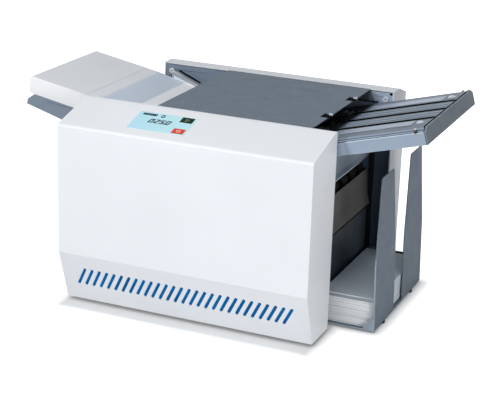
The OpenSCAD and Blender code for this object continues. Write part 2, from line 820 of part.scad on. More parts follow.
module pulley(axis, r, bore, y0) {
    translate([axis[0], y0 + pulley_w, axis[1]]) rotate([90, 0, 0]) rotate_extrude()
        polygon([[bore, 0], [r + pulley_lip, 0], [r + pulley_lip, pulley_rim], [r, pulley_rim],
            [r, pulley_w - pulley_rim], [r + pulley_lip, pulley_w - pulley_rim], [r + pulley_lip, pulley_w],
            [bore, pulley_w]]);
}

// Gear, hub and belt pulley moulded as one
module gear_pulley(axis, rp, phase, r) {
    hub_r = shaft_r + 4;
    difference() {
        union() {
            gear_blank(axis, rp, phase, gear_y);
            rod_y(axis, hub_r, gear_y + gear_w / 2, press_belt_y + pulley_w / 2);
            pulley(axis, r, 0, press_belt_y);
        }
        rod_y(axis, shaft_r + fit, gear_y - 1, press_belt_y + pulley_w + 1);
    }
}

// Belt around two pulleys, from the tangents to both
module belt_outline(a, ra, b, rb) {
    line = heading(a, b);
    lean = acos((ra - rb) / norm(b - a));
    translate(a) circle(r = ra);
    translate(b) circle(r = rb);
    polygon([a + polar(ra, line + lean), a + polar(ra, line - lean), b + polar(rb, line - lean),
        b + polar(rb, line + lean)]);
}

module belt(a, ra, b, rb, y0) {
    y = y0 + pulley_rim + pulley_side;
    along_y(y, y + belt_w)
        difference() {
            belt_outline(a, ra + run_gap + belt_t, b, rb + run_gap + belt_t);
            belt_outline(a, ra + run_gap, b, rb + run_gap);
        }
}

nylon = "#d8d4c6";
module fold_gear_1() { color(nylon) gear(axis_1, fold_pitch / 2, phase_1, gear_y); }
module fold_gear_2() { color(nylon) gear(axis_2, fold_pitch / 2, phase_2, gear_y); }
module fold_gear_4() { color(nylon) gear(axis_4, fold_pitch / 2, phase_4, gear_y); }

// The press belt's pulleys give both pairs of rollers the same surface speed
press_drive_r = press_pulley_r * fold_r / press_r;
module fold_gear_3() { color(nylon) gear_pulley(axis_3, fold_pitch / 2, phase_3, press_drive_r); }
module press_gear_upper() { color(nylon) gear_pulley(press_up, press_pitch / 2, 0, press_pulley_r); }
module press_gear_lower() { color(nylon) gear(press_low, press_pitch / 2, phase_low, gear_y); }

module roller_bearings() {
    color("#b08a4a")
        for (p = roller_axes) both_sides()
            difference() {
                union() {
                    rod_y(p, bush_flange_r, frame_y0, frame_y0 + bush_flange_t);
                    rod_y(p, bush_r, front_out - bush_out, frame_y0 + bush_flange_t / 2);
                }
                rod_y(p, shaft_r + fit, front_out - bush_out - 1, frame_y0 + bush_flange_t + 1);
            }
}

module drive_motor() {
    seat = 24;
    color("#3a3d42") difference() {
        union() {
            rod_y(motor_axis, motor_r, frame_y1 - motor_len, frame_y1);
            rod_y(motor_axis, motor_r - 8, frame_y1 - motor_len - 6, frame_y1 - motor_len + 1);
            rod_y(motor_axis, motor_pilot_r, frame_y1 - 1, frame_y1 + motor_pilot_t);
        }
        rod_y(motor_axis, motor_shaft_r + fit, frame_y1 - seat, frame_y1 + motor_pilot_t + 1);
    }
}

module motor_pulley() {
    seat = 22;
    color(bare_steel) {
        rod_y(motor_axis, motor_shaft_r, frame_y1 - seat, drive_belt_y + pulley_w + 2);
        pulley(motor_axis, motor_pulley_r, motor_shaft_r - 1, drive_belt_y);
    }
}

module drive_pulley() { color(nylon) pulley(axis_2, drive_pulley_r, shaft_r + fit, drive_belt_y); }
module feed_drive_pulley() { color(nylon) pulley(axis_1, feed_pulley_r, shaft_r + fit, feed_belt_y); }
module feed_pulley() { color(nylon) pulley(feed_axis, feed_pulley_r, shaft_r + fit, feed_belt_y); }
module drive_belt() {
    color(black_part) belt(motor_axis, motor_pulley_r, axis_2, drive_pulley_r, drive_belt_y);
}
module feed_belt() { color(black_part) belt(feed_axis, feed_pulley_r, axis_1, feed_pulley_r, feed_belt_y); }
module press_belt() {
    color(black_part) belt(axis_3, press_drive_r, press_up, press_pulley_r, press_belt_y);
}

// Upper fold plate: rails with outer caps, lower sheet and end wall; u along X and w along Z in its own frame
module upper_fold_plate() {
    chamfer_w = rail_flange;
    top = panel_h + 1;
    cap_step = 0.75 * sheet_t;
    color(plate_paint) on_fold_plate() {
        translate([plate_u0, fold_y0 + sheet_t / 2, -plate_t - 0.5])
            cube([fold_over - end_wall_t / 2 - plate_u0, fold_w - sheet_t, plate_t]);
        both_sides() {
            translate([rail_u0, fold_y0 + cap_step, -rail_h])
                cube([rail_cap_u0 + 2 * rail_flange - rail_u0, sheet_t, rail_h]);
            translate([rail_u0, fold_y0 + cap_step, -sheet_t])
                cube([fold_over - rail_u0, rail_flange - cap_step, sheet_t]);
            along_y(fold_y0, fold_y0 + sheet_t)
                polygon([[rail_cap_u0, 0], [rail_cap_u0 + 0.18 * rail_h, -rail_h], [fold_over, -rail_h],
                    [fold_over, 0]]);
        }
        along_x(fold_over - end_wall_t, fold_over)
            polygon([[fold_y0, -rail_h], [fold_y1, -rail_h], [fold_y1, 0], [fold_y1 - chamfer_w, top],
                [fold_y0 + chamfer_w, top], [fold_y0, 0]]);
    }
}

// Slotted panel that stands on the rail flanges over the paper gap, with beads along its lands
slot_ys = [for (i = [-1:1]) bay_mid + i * slot_pitch];
module fold_plate_panel() {
    rise = 5;
    leg = 1.3 * panel_t;
    under = panel_h - panel_t;
    bead_w = 3;
    bead_h = 0.8;
    bead_set = 8;
    y0 = fold_y0 + panel_inset;
    half = [[y0, 0], [y0 + rise, panel_h]];
    inner = [[y0 + leg, 0], [y0 + leg + rise * under / panel_h, under]];
    other = [for (p = concat(reversed(half), inner)) [2 * bay_mid - p[0], p[1]]];
    color("#8894a0") on_fold_plate() difference() {
        union() {
            along_x(panel_u0, panel_u1) polygon(concat(half, other, reversed(inner)));
            for (land = [-1, 1], s = [-1, 1])
                translate([trim_u0, bay_mid + land * slot_pitch / 2 + s * bead_set - bead_w / 2,
                    under + panel_t / 2]) cube([panel_u1 - trim_u0, bead_w, panel_t / 2 + bead_h]);
        }
        for (y = slot_ys)
            translate([(slot_u0 + slot_u1) / 2, y, -1]) rotate(90)
                linear_extrude(panel_h + 3) slot_shape(slot_u1 - slot_u0 - slot_w, slot_w);
    }
}

// Pale scale strips outside the slots
module scale_strips() {
    t = 0.8;
    slot_gap = 5.5;
    end_set = 28;
    y1 = slot_ys[0] - slot_w / 2 - slot_gap;
    color("#c6ced6") on_fold_plate() both_sides()
        translate([trim_u0, y1 - scale_w, panel_h + fit]) cube([panel_u1 - end_set - trim_u0, scale_w, t]);
}

// Paper stop: bar in the paper gap, fingers in the slots, carriages on the panel
stop_back = 58;
stop_u = -stop_back;
stop_len = 26;
carriage_t = 3.5;
stop_top = panel_h + run_gap + carriage_t;
carriage_ys = [bay_mid - slot_pitch, bay_mid + slot_pitch];
module fold_stop() {
    bar_t = 6;
    low = run_gap - 0.5;
    high = panel_h - panel_t - run_gap;
    bar_y0 = fold_y0 + rail_flange + 4.5;
    finger_w = slot_w - 3;
    carriage_w = slot_w + 11;
    color(dark_paint) on_fold_plate() {
        translate([stop_u - bar_t / 2, bar_y0, low]) cube([bar_t, 2 * (bay_mid - bar_y0), high - low]);
        translate([stop_u - bar_t / 2, bay_mid - finger_w / 2, low])
            cube([bar_t, finger_w, panel_h + 1 - low]);
        for (y = carriage_ys) {
            translate([stop_u - bar_t / 2, y - finger_w / 2, low])
                cube([bar_t, finger_w, stop_top - 1 - low]);
            translate([stop_u - stop_len / 2, y - carriage_w / 2, stop_top - carriage_t])
                cube([stop_len, carriage_w, carriage_t]);
        }
    }
}

module stop_knobs() {
    r = 7;
    h = 3.5;
    flutes = 10;
    color(black_part) on_fold_plate()
        for (y = carriage_ys)
            translate([stop_u, y, stop_top]) linear_extrude(h)
                difference() {
                    circle(r = r);
                    for (i = [0:flutes - 1])
                        rotate(i * 360 / flutes) translate([r + 0.6, 0]) circle(r = 1.4, $fn = 16);
                }
}

// Pins on the frames that carry the rails of the fold plate
module plate_pins() {
    reach = fold_y0 + sheet_t + 2;
    color(bare_steel)
        for (u = [-60, -20]) both_sides()
            rod_y(fold_point(u, -rail_h - rod_r - fit), rod_r, frame_y0, reach);
}

// Lower fold plate: a flat pocket below the second nip
module lower_fold_plate() {
    along = polar(1, angle_23 - 90);
    across = left_of(along);
    mouth = (axis_2 + axis_3) / 2 + 22 * along;
    pocket = 160;
    half = 2.2;
    wall = plate_t;
    color(plate_paint) along_y(frame_y0, frame_y1)
        polygon([mouth - (half + wall) * across, mouth - half * across,
            mouth + pocket * along - half * across, mouth + pocket * along + half * across,
            mouth + half * across, mouth + (half + wall) * across,
            mouth + (pocket + wall) * along + (half + wall) * across,
            mouth + (pocket + wall) * along - (half + wall) * across]);
}

// Exit side
module exit_guard() {
    x = exit_x - sheet_t;
    low = exit_z + exit_slot / 2;
    top = fold_point((x - body_len) / cos(fold_angle), 0)[1] - rail_h / cos(fold_angle) - 2.5;
    color(frame_paint)
        sheet([[x, top], [x, low + 5], [x + 4, low]], -sheet_t, frame_y0, frame_y1);
}

module exit_chute() {
    high = exit_z - exit_slot / 2;
    color("#5d5a55")
        sheet([[exit_x, high], [exit_x + 2, high - 35], [exit_x + 7.5, high - 60]], -sheet_t, frame_y0,
            frame_y1);
}

module exit_wall() {
    x = exit_x + 3;
    color(dark_paint)
        sheet([[x, pan_top], [x, exit_z - exit_slot / 2 - 53]], sheet_t, frame_y0, frame_y1);
}

// Catch tray: sheet on the desk with two leaning fins, a rear wall and a front gusset
module fin(y) {
    taper = (fin_w - fin_top) / 2;
    outline = [[0, 0], [fin_w, 0], [fin_w, fin_straight], [fin_w - taper, fin_h], [taper, fin_h],
        [0, fin_straight]];
    foot = 3 * sheet_t;
    path = [[tray_x1, tray_z], [tray_x1, tray_z + foot],
        [tray_x1 - (fin_h - foot) * tan(fin_lean), tray_z + fin_h]];
    intersection() {
        sheet(path, sheet_t, y, y + fin_w);
        translate([0, y, tray_z]) along_x(tray_x1 - fin_w, tray_x1 + fin_w)
            polygon(rounded(outline, [0, 0, 120, 4, 4, 120]));
    }
}

module catch_tray() {
    gusset = 22;
    color(grey_paint) {
        translate([tray_x0, tray_y0, tray_z]) cube([tray_x1 - tray_x0, tray_w, sheet_t]);
        fin(tray_y0);
        fin(tray_y1 - fin_w);
        translate([exit_x + 12, tray_y1 - sheet_t, tray_z])
            cube([tray_x1 - exit_x - 12 - 0.8 * sheet_t, sheet_t, sheet_t + tray_wall_h]);
        along_y(tray_y0, tray_y0 + sheet_t)
            polygon([[tray_x1 - gusset, tray_z], [tray_x1 - sheet_t / 2, tray_z],
                [tray_x1 - sheet_t / 2, tray_z + gusset]]);
    }
}

module tray_feet() {
    r = 7;
    color(black_part)
        for (y = [tray_y0 + fin_w / 2, tray_y1 - fin_w / 2])
            translate([tray_x1 - 0.75 * r, y, 0]) cylinder(r = r, h = tray_z);
}

module folded_stack() {
    fold_edge = 1.5;
    top = tray_z + sheet_t + folded_h;
    w = sheet_w - 1;
    color(paper_white) along_y(folded_y0, folded_y0 + w)
        polygon(rounded([[folded_x0, tray_z + sheet_t], [folded_x0 + folded_len, tray_z + sheet_t],
            [folded_x0 + folded_len, top], [folded_x0, top]], [0, 0, fold_edge, 0]));
}

// Mains inlet and switch, set in a window of the rear cover's back wall
inlet_window = [64, 30];
inlet_x = 60;
inlet_z = 50;
inlet_border = 5;
inlet_t = 2;
inlet_depth = 24;
socket = [24, 17];
switch_hole = [14, 21];
switch_x = 20;
socket_x = -12;
rocker_pivot_r = 1.5;
rocker_drop = 3.5;
// Box of the given width and height in the inlet's place, y measured inwards from the back face
module inlet_box(size, y0, y1, x = 0) {
    translate([inlet_x + x - size[0] / 2, depth - y1, inlet_z - size[1] / 2])
        cube([size[0], y1 - y0, size[1]]);
}

module power_inlet() {
    face = cover_wall;
    plate = [inlet_window[0] + 2 * inlet_border, inlet_window[1] + 2 * inlet_border];
    body = [inlet_window[0] - 4, inlet_window[1] - 2];
    floor_t = 3;
    color(black_part) difference() {
        union() {
            inlet_box(plate, face, face + inlet_t);
            inlet_box(body, face + inlet_t / 2, face + inlet_depth);
        }
        difference() {
            inlet_box(socket, face - 1, face + inlet_depth - floor_t, socket_x);
            for (i = [-1:1])
                inlet_box([2, 4], face + 5, face + inlet_depth, socket_x + 7 * i);
        }
        inlet_box(switch_hole, face - 1, face + inlet_depth - floor_t, switch_x);
        translate([inlet_x + switch_x, depth - face - rocker_drop, inlet_z]) rotate([0, 90, 0])
            cylinder(r = rocker_pivot_r + fit, h = switch_hole[0] + 4, center = true);
    }
}

// Rocker: two flat lands that meet in a shallow vee over the pivot
module power_switch() {
    half = switch_hole[1] / 2 - 1;
    wide = switch_hole[0] - 1;
    tilt = 8;
    vee = half * tan(tilt);
    pivot_y = depth - cover_wall - rocker_drop;
    color("#b8302a") translate([inlet_x + switch_x, pivot_y, inlet_z]) {
        rotate([-tilt, 0, 0]) translate([-wide / 2, 0, 0]) along_x(0, wide)
            polygon([[rocker_drop + vee - 1.2, half], [rocker_drop - 1.2, 0],
                [rocker_drop + vee - 1.2, -half], [-1, -half], [-4, -half / 2], [-4, half / 2], [-1, half]]);
        rotate([0, 90, 0]) cylinder(r = rocker_pivot_r, h = switch_hole[0] + 3, center = true);
    }
}

module power_board() {
    len = 110;
    wide = 80;
    left = 50;
    high = 180;
    color("#2f6b45") translate([left, rear_out, high]) rotate([-90, 0, 0])
        board(len, wide, [[10, 12, 34, 40, 22], [54, 12, 18, 18, 16], [54, 44, 40, 14, 10],
            [84, 10, 14, 24, 14]]);
}

module placed() { translate([-mid_x, -mid_y, 0]) children(); }

placed() front_cover();
placed() vent_liner();
placed() touch_screen();
placed() control_board();
placed() rear_cover();
placed() front_frame();
placed() rear_frame();
placed() base_pan();
placed() machine_feet();
placed() tie_bars();
placed() fasteners();
placed() top_cover();
placed() cover_hinges();
placed() end_panel();
placed() infeed_table();
placed() front_side_guide();
placed() rear_side_guide();
placed() paper_stack();
placed() feed_shaft();
placed() feed_tyres();
placed() separator_pad();
placed() feed_guide();
placed() fold_roller_1();
placed() fold_roller_2();
placed() fold_roller_3();
placed() fold_roller_4();
placed() fold_gear_1();
placed() fold_gear_2();
placed() fold_gear_3();
placed() fold_gear_4();
placed() press_roller_upper();
placed() press_roller_lower();
placed() press_gear_upper();
placed() press_gear_lower();
placed() roller_bearings();
placed() drive_motor();
placed() motor_pulley();
placed() drive_pulley();
placed() drive_belt();
placed() feed_drive_pulley();
placed() feed_pulley();
placed() feed_belt();
placed() press_belt();
placed() upper_fold_plate();
placed() fold_plate_panel();
placed() scale_strips();
placed() fold_stop();
placed() stop_knobs();
placed() plate_pins();
placed() lower_fold_plate();
placed() exit_guard();
placed() exit_chute();
placed() exit_wall();
placed() catch_tray();
placed() tray_feet();
placed() folded_stack();
placed() power_inlet();
placed() power_switch();
placed() power_board();
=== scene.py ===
"""Desk paper folding machine: finishes, small visual pieces, light and camera."""

import json
import math
import random

import bmesh
import bpy
from mathutils import Matrix, Vector


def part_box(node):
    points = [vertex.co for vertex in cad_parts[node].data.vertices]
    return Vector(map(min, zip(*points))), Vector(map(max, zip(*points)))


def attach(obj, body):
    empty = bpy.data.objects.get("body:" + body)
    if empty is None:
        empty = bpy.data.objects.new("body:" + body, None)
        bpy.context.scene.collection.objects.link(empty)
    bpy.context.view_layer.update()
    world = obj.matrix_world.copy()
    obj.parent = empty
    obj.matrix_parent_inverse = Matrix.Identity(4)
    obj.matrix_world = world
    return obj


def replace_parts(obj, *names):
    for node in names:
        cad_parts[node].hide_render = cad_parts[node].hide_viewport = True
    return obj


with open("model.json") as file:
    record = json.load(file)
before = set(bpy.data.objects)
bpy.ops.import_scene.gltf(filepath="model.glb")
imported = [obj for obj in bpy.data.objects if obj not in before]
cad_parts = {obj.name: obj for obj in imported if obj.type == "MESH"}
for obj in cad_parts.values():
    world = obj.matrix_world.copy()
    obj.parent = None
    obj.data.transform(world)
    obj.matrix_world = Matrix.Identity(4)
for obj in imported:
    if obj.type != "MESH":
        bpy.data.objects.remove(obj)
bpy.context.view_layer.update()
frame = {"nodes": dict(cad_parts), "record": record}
nodes = frame["nodes"]
scene = bpy.context.scene

# Lengths are in mm. A place in the machine is given from the housing's lower left front corner on the desk:
# x to the right, with the paper, y to the back and z up.
MM = 0.001
ORIGIN_X, ORIGIN_Y = 213.5944, 219.0  # the row frame's origin
UP, DOWN = (0.0, 0.0, 1.0), (0.0, 0.0, -1.0)
LEFT, RIGHT = (-1.0, 0.0, 0.0), (1.0, 0.0, 0.0)
FRONT = (0.0, -1.0, 0.0)

# Sizes of the CAD solids that pieces are set against, as in part.scad
BODY_H = 322.0  # top of the housing
CONTROL_DROP, CONTROL_RUN = 23.0, 90.0  # slope of the control panel
BAY_Y0, BAY_MID = 97.0, 233.5  # inner edge of the front cover, middle of the paper bay
FRAME_Y = 96.0  # inner face of the front frame
BOLT_X, BOLT_Y, BOLT_Z = (14.0, 406.0), 99.0, (36.0, 308.0)  # heads of the cover bolts
TABLE_Z, TABLE_SLOPE = 282.0, math.radians(10.2)  # infeed table at the left end of the housing
FOLD_X, FOLD_Z, FOLD_ANGLE = 420.0, 303.0, math.radians(15.2)  # fold plate at the right end of the housing
RAIL_Y = 101.0  # outer face of the fold plate's near rail
PANEL_TOP, PANEL_END, WALL_IN = 6.0, 132.5, 135.0  # slotted panel: height, end, and the end wall behind it
SLOT_U0, SLOT_U1, SLOT_W, SLOT_PITCH = -94.0, 130.5, 11.0, 57.5  # slots in that panel
STRIP_U0, STRIP_U1, STRIP_Y0, STRIP_Y1 = -21.0, 104.5, 136.0, 165.0  # near scale strip
COVER_X1, COVER_LOW = 379.0, 319.4  # right edge of the top cover, and a level just below its sheet
CHEEK_Y, CHEEK_T = 98.0, 2.0  # near cheek of the top cover
NOTCH_LEN, NOTCH_HALF = 13.0, 13.0  # notches in the top cover

FOLD_REF = (FOLD_X, 0.0, FOLD_Z)
FOLD_DIR = (math.cos(FOLD_ANGLE), 0.0, math.sin(FOLD_ANGLE))
FOLD_BACK = (-FOLD_DIR[0], 0.0, -FOLD_DIR[2])
FOLD_UP = (-FOLD_DIR[2], 0.0, FOLD_DIR[0])


def row(x, y, z):
    """Place in the machine as a point of the row frame, in metres."""
    return Vector(((x - ORIGIN_X) * MM, (y - ORIGIN_Y) * MM, z * MM))


def upright(x, z, y):
    """The same for an outline that is drawn in x and z and reaches along y."""
    return row(x, y, z)


def opposite(y):
    """Mirror image in the middle of the paper bay."""
    return 2 * BAY_MID - y


REAR_FRAME_Y, REAR_EDGE_Y = opposite(FRAME_Y), opposite(BAY_Y0)


# Materials
MIX_FAC, MIX_A, MIX_B, MIX_OUT = 0, 6, 7, 2  # sockets of a Mix node for colours


def linear(rgb):
    """Colour as it is seen on a screen, as the linear one that a shader takes."""
    return [c / 12.92 if c <= 0.04045 else ((c + 0.055) / 1.055) ** 2.4 for c in rgb] + [1.0]


def tint(rgb, k):
    """Lighter or darker colour."""
    return [min(1.0, c * k) for c in rgb]


class Finish:
    """A Principled material with a few procedural helpers."""

    def __init__(self, name, rough=0.5, metal=0.0, spec=0.5):
        self.mat = bpy.data.materials.new(name)
        self.mat.use_nodes = True
        self.tree = self.mat.node_tree
        self.bsdf = self.tree.nodes["Principled BSDF"]
        self.bsdf.inputs["Roughness"].default_value = rough
        self.bsdf.inputs["Metallic"].default_value = metal
        self.bsdf.inputs["Specular IOR Level"].default_value = spec
        self.coords = self.tree.nodes.new("ShaderNodeTexCoord").outputs["Object"]

    def feed(self, socket, value):
        """Link an input to another node's output, or set its constant."""
        if isinstance(value, bpy.types.NodeSocket):
            self.tree.links.new(value, socket)
        else:
            socket.default_value = value

    def node(self, kind, **values):
        n = self.tree.nodes.new("ShaderNode" + kind)
        for key, value in values.items():
            if key in n.inputs:
                self.feed(n.inputs[key], value)
            else:
                setattr(n, key, value)
        return n

    def scalar(self, operation, *values):
        n = self.node("Math", operation=operation)
        for socket, value in zip(n.inputs, values):
            self.feed(socket, value)
        return n.outputs[0]

    def vector(self, operation, *values):
        n = self.node("VectorMath", operation=operation)
        for socket, value in zip(n.inputs, values):
            self.feed(socket, value)
        return n.outputs["Value" if operation in ("DOT_PRODUCT", "LENGTH") else "Vector"]

    def times(self, a, b):
        return self.scalar("MULTIPLY", a, b)

    def noise(self, scale, stretch=(1, 1, 1), turn=(0, 0, 0), detail=4.0):
        place = self.node("Mapping", Vector=self.coords, Scale=stretch, Rotation=turn)
        return self.node("TexNoise", Vector=place.outputs[0], Scale=scale, Detail=detail).outputs["Fac"]

    def spread(self, fac, low, high, start=0.3, end=0.7):
        """Low to high as fac goes from start to end."""
        n = self.node("MapRange", Value=fac)
        for key, value in (("From Min", start), ("From Max", end), ("To Min", low), ("To Max", high)):
            n.inputs[key].default_value = value
        return n.outputs[0]

    def ramp(self, fac, a, b, start=0.3, end=0.7):
        """One colour to another as fac goes from start to end."""
        n = self.node("ValToRGB", Fac=fac)
        for element, place, rgb in zip(n.color_ramp.elements, (start, end), (a, b)):
            element.position, element.color = place, linear(rgb)
        return n.outputs[0]

    def mix(self, fac, colour, other):
        """Colour to another, which is an output or a fixed colour, as fac goes from 0 to 1."""
        n = self.node("Mix", data_type="RGBA")
        fixed = not isinstance(other, bpy.types.NodeSocket)
        self.feed(n.inputs[MIX_FAC], fac)
        self.feed(n.inputs[MIX_A], colour)
        self.feed(n.inputs[MIX_B], linear(other) if fixed else other)
        return n.outputs[MIX_OUT]

    def edges(self, radius, amount):
        """Mask of the outer and inner edges within a radius, broken up by noise, where a lighter colour is
        painted as a highlight.
        """
        bevel = self.node("Bevel", Radius=radius * MM, samples=6)
        alike = self.vector("DOT_PRODUCT", bevel.outputs[0], self.node("NewGeometry").outputs["Normal"])
        edge = self.spread(alike, 0.0, amount, 0.985, 0.86)
        return self.times(edge, self.spread(self.noise(55), 0.35, 1.0, 0.35, 0.6))

    def zone(self, direction, origin, start, end):
        """0 to 1 over a stretch along a direction, from a place in the machine."""
        away = self.vector("SUBTRACT", self.coords, row(*origin))
        return self.spread(self.vector("DOT_PRODUCT", away, direction), 0.0, 1.0, start * MM, end * MM)

    def facing(self, direction, start, end):
        """0 to 1 as the surface turns towards a direction."""
        normal = self.node("NewGeometry").outputs["Normal"]
        return self.spread(self.vector("DOT_PRODUCT", normal, direction), 0.0, 1.0, start, end)

    def paint(self, colour):
        self.feed(self.bsdf.inputs["Base Color"], colour)

    def rough(self, fac):
        self.feed(self.bsdf.inputs["Roughness"], fac)

    def bump(self, fac, depth, strength=0.3):
        n = self.node("Bump", Height=fac, Distance=depth, Strength=strength)
        self.feed(self.bsdf.inputs["Normal"], n.outputs[0])


def powder(name, rgb, rough=0.45, grain=900, depth=0.00012, edge=None, edge_mm=1.0, edge_amount=0.7,
           spec=0.06, zones=(), streaks=None):
    """Powder coat: fine grain, faint cloudiness in colour and gloss, another colour along the edges, lighter,
    as a painted highlight broken up by noise.

    Each zone is another colour and the stretch that it covers, as for Finish.zone. Streaks are lines along X
    in another colour."""
    f = Finish(name, rough, spec=spec)
    colour = f.ramp(f.noise(6, detail=3), tint(rgb, 0.99), tint(rgb, 1.008))
    if streaks:
        lines = f.noise(330, (0.004, 1, 0.004), detail=3)
        colour = f.mix(f.spread(lines, 0.0, 0.4, 0.4, 0.65), colour, streaks)
    for other, *stretch in zones:
        colour = f.mix(f.zone(*stretch), colour, other)
    # lighter colour along the edges: painted highlight
    if edge:
        colour = f.mix(f.edges(edge_mm, edge_amount), colour, edge)
    f.paint(colour)
    f.rough(f.spread(f.noise(40), rough - 0.06, rough + 0.06))
    f.bump(f.noise(grain, detail=2), depth)
    return f.mat


def brushed(name, rgb, rough=0.32, stretch=(60, 1, 60)):
    """Metal with fine lines along the axis that isn't stretched."""
    f = Finish(name, rough, metal=1.0)
    streak = f.noise(25, stretch)
    f.paint(f.ramp(streak, tint(rgb, 0.86), tint(rgb, 1.06)))
    f.rough(f.spread(streak, rough - 0.08, rough + 0.1))
    f.bump(streak, 0.00005, 0.2)
    return f.mat


def moulded(name, rgb, rough=0.5, grain=500, depth=0.0001, spec=0.4):
    """Plastic or rubber: uneven colour and gloss, fine grain."""
    f = Finish(name, rough, spec=spec)
    f.paint(f.ramp(f.noise(30), tint(rgb, 0.9), tint(rgb, 1.1)))
    f.rough(f.spread(f.noise(90), rough - 0.08, rough + 0.08))
    f.bump(f.noise(grain, detail=2), depth)
    return f.mat


def display(name, rgb, other, x0, x1):
    """Lit screen behind glass: one pale colour that runs into another along X, with a fine speckle."""
    f = Finish(name, 0.2, spec=0.25)
    colour = f.ramp(f.zone(RIGHT, (x0, 0, 0), 0.0, x1 - x0), rgb, other, 0.0, 1.0)
    f.paint(f.mix(f.spread(f.noise(1500, detail=1), 0.0, 0.12), colour, other))
    f.rough(f.spread(f.noise(60), 0.16, 0.24))
    return f.mat


LAYER_GAP, LAYER_EDGE = (0.885, 0.905, 0.935), (0.985, 0.988, 0.992)  # lines on the sides of a stack
# Painted shade on the fanned stretch of the loaded stack, bluish with lines at its steps, and painted light
# on the stretch beyond it
FAN_PAINTED_SHADE, FAN_FOOT_PAINTED_LIGHT, FAN_SOFT = (0.79, 0.84, 0.905), (0.955, 0.975, 1.0), 3  # fanned stretch, and beyond it


def sheets(name, turn, top_rgb, fan=None):
    """Paper: thin uneven lines on the sides of the layers, fibres in the surface, a fanned stretch on top in
    painted shade, with painted light beyond it.
    """
    f = Finish(name, 0.8, spec=0.2)
    top = f.facing(UP, 0.4, 0.6)
    plain = f.ramp(f.noise(9, detail=3), tint(top_rgb, 0.99), tint(top_rgb, 1.01))
    lines = f.noise(160, (0.02, 0.05, 9), turn, detail=6)
    colour = f.mix(top, f.ramp(lines, LAYER_GAP, LAYER_EDGE, 0.30, 0.48), plain)
    if fan:
        start, end = fan
        after = f.zone(RIGHT, (start, 0, 0), 0, FAN_SOFT)
        here = f.times(after, f.zone(RIGHT, (end, 0, 0), FAN_SOFT, 0))
        # lines of painted shade at the fanned sheets' edges
        steps = f.spread(f.noise(260, (1, 0.004, 0.004), detail=2), 0.8, 1.0, 0.35, 0.65)
        colour = f.mix(f.times(f.times(here, steps), top), colour, FAN_PAINTED_SHADE)
        colour = f.mix(f.times(f.zone(RIGHT, (end, 0, 0), 0, FAN_SOFT), top), colour, FAN_FOOT_PAINTED_LIGHT)
    f.paint(colour)
    f.bump(f.noise(700, detail=3), 0.00008, 0.25)
    return f.mat


WHITE = powder("white_paint", (0.925, 0.938, 0.955), 0.42, spec=0.25,
               edge=(0.97, 0.975, 0.985), edge_mm=2.5, edge_amount=0.5)
# The white of the front cover made darker for the rear cover, as painted shade towards the back
REAR_WHITE_SHADED = powder("rear_white_painted_shade", (0.845, 0.86, 0.88), 0.42, spec=0.2,
              edge=(0.93, 0.94, 0.955), edge_mm=2.5, edge_amount=0.5)
GREY = powder("grey_paint", (0.41, 0.465, 0.52), 0.5, edge=(0.56, 0.61, 0.66))
COVER = powder("cover_paint", (0.396, 0.451, 0.506), 0.48, edge=(0.58, 0.63, 0.68),
               zones=(((0.42, 0.455, 0.48), DOWN, (0, 0, 319.9), 0.0, 0.4),))  # below its sheet
# Tray paint: its edges lighter as a painted highlight, and its near face painted lighter, as painted light on
# the gusset and a painted highlight on the fins' near edges
TRAY = powder("tray_paint", (0.39, 0.44, 0.49), 0.48,
              edge=(0.66, 0.70, 0.74), edge_mm=1.3, edge_amount=0.9,
              zones=(((0.60, 0.65, 0.70), FRONT, (0, 125.1, 0), 0.0, 0.2),))  # near face
TABLE = powder("table_paint", (0.52, 0.57, 0.625), 0.48, edge=(0.70, 0.74, 0.78))
DARK = powder("dark_paint", (0.235, 0.27, 0.305), 0.5, edge=(0.36, 0.40, 0.44))
PLATE = powder("plate_paint", (0.595, 0.65, 0.72), 0.42,
               edge=(0.84, 0.89, 0.95), edge_mm=1.5, edge_amount=1.0,
               zones=(((0.338, 0.385, 0.43), FOLD_DIR, FOLD_REF, 134.2, 134.6),))  # end wall
# Panel paint: the near side painted lighter as painted light, and nearly black under the top cover as painted
# shade
PANEL = powder("panel_paint", (0.375, 0.42, 0.475), 0.42, edge=(0.68, 0.74, 0.81), edge_amount=0.9,
               spec=0.1, streaks=(0.51, 0.56, 0.625),
               zones=(((0.60, 0.66, 0.73), FOLD_UP, FOLD_REF, 6.3, 6.6),  # what stands above its face
                      ((0.57, 0.62, 0.69), FRONT, (0, 111.0, 0), 0.0, 0.6),  # near side
                      ((0.05, 0.055, 0.06), FOLD_BACK, FOLD_REF, 24.0, 30.0)))  # under the top cover
FRAME = powder("frame_paint", (0.42, 0.475, 0.54), 0.48, edge=(0.58, 0.63, 0.70))
# Paint of the frame plates: darker than the frame paint as painted shade in the paper bay, lighter on the
# upper part as painted light above the fold plate, and lighter on the left part as painted light
FRAME_SHADE_AND_LIGHT = powder("frame_paint_painted_shade_and_light", (0.28, 0.325, 0.38), 0.5, edge=(0.38, 0.43, 0.49),
               zones=(((0.68, 0.745, 0.83), UP, (0, 0, 0), 272.0, 276.0),  # upper part
                      ((0.50, 0.555, 0.625), LEFT, (160, 0, 0), 0.0, 40.0)))  # left part
GUARD = powder("guard_paint", (0.585, 0.63, 0.68), 0.5, edge=(0.70, 0.73, 0.77))
CHUTE = powder("chute_paint", (0.375, 0.37, 0.36), 0.45, edge=(0.48, 0.47, 0.45))
MOTOR = powder("motor_paint", (0.20, 0.21, 0.23), 0.45, edge=(0.34, 0.35, 0.37))
# Fastener heads: zinc grey, made pale and not metallic as a painted highlight
ZINC_AND_HIGHLIGHT = powder("zinc_and_painted_highlight", (0.86, 0.885, 0.91), 0.36, 300, 0.00006, edge=(0.86, 0.88, 0.90), spec=0.4)
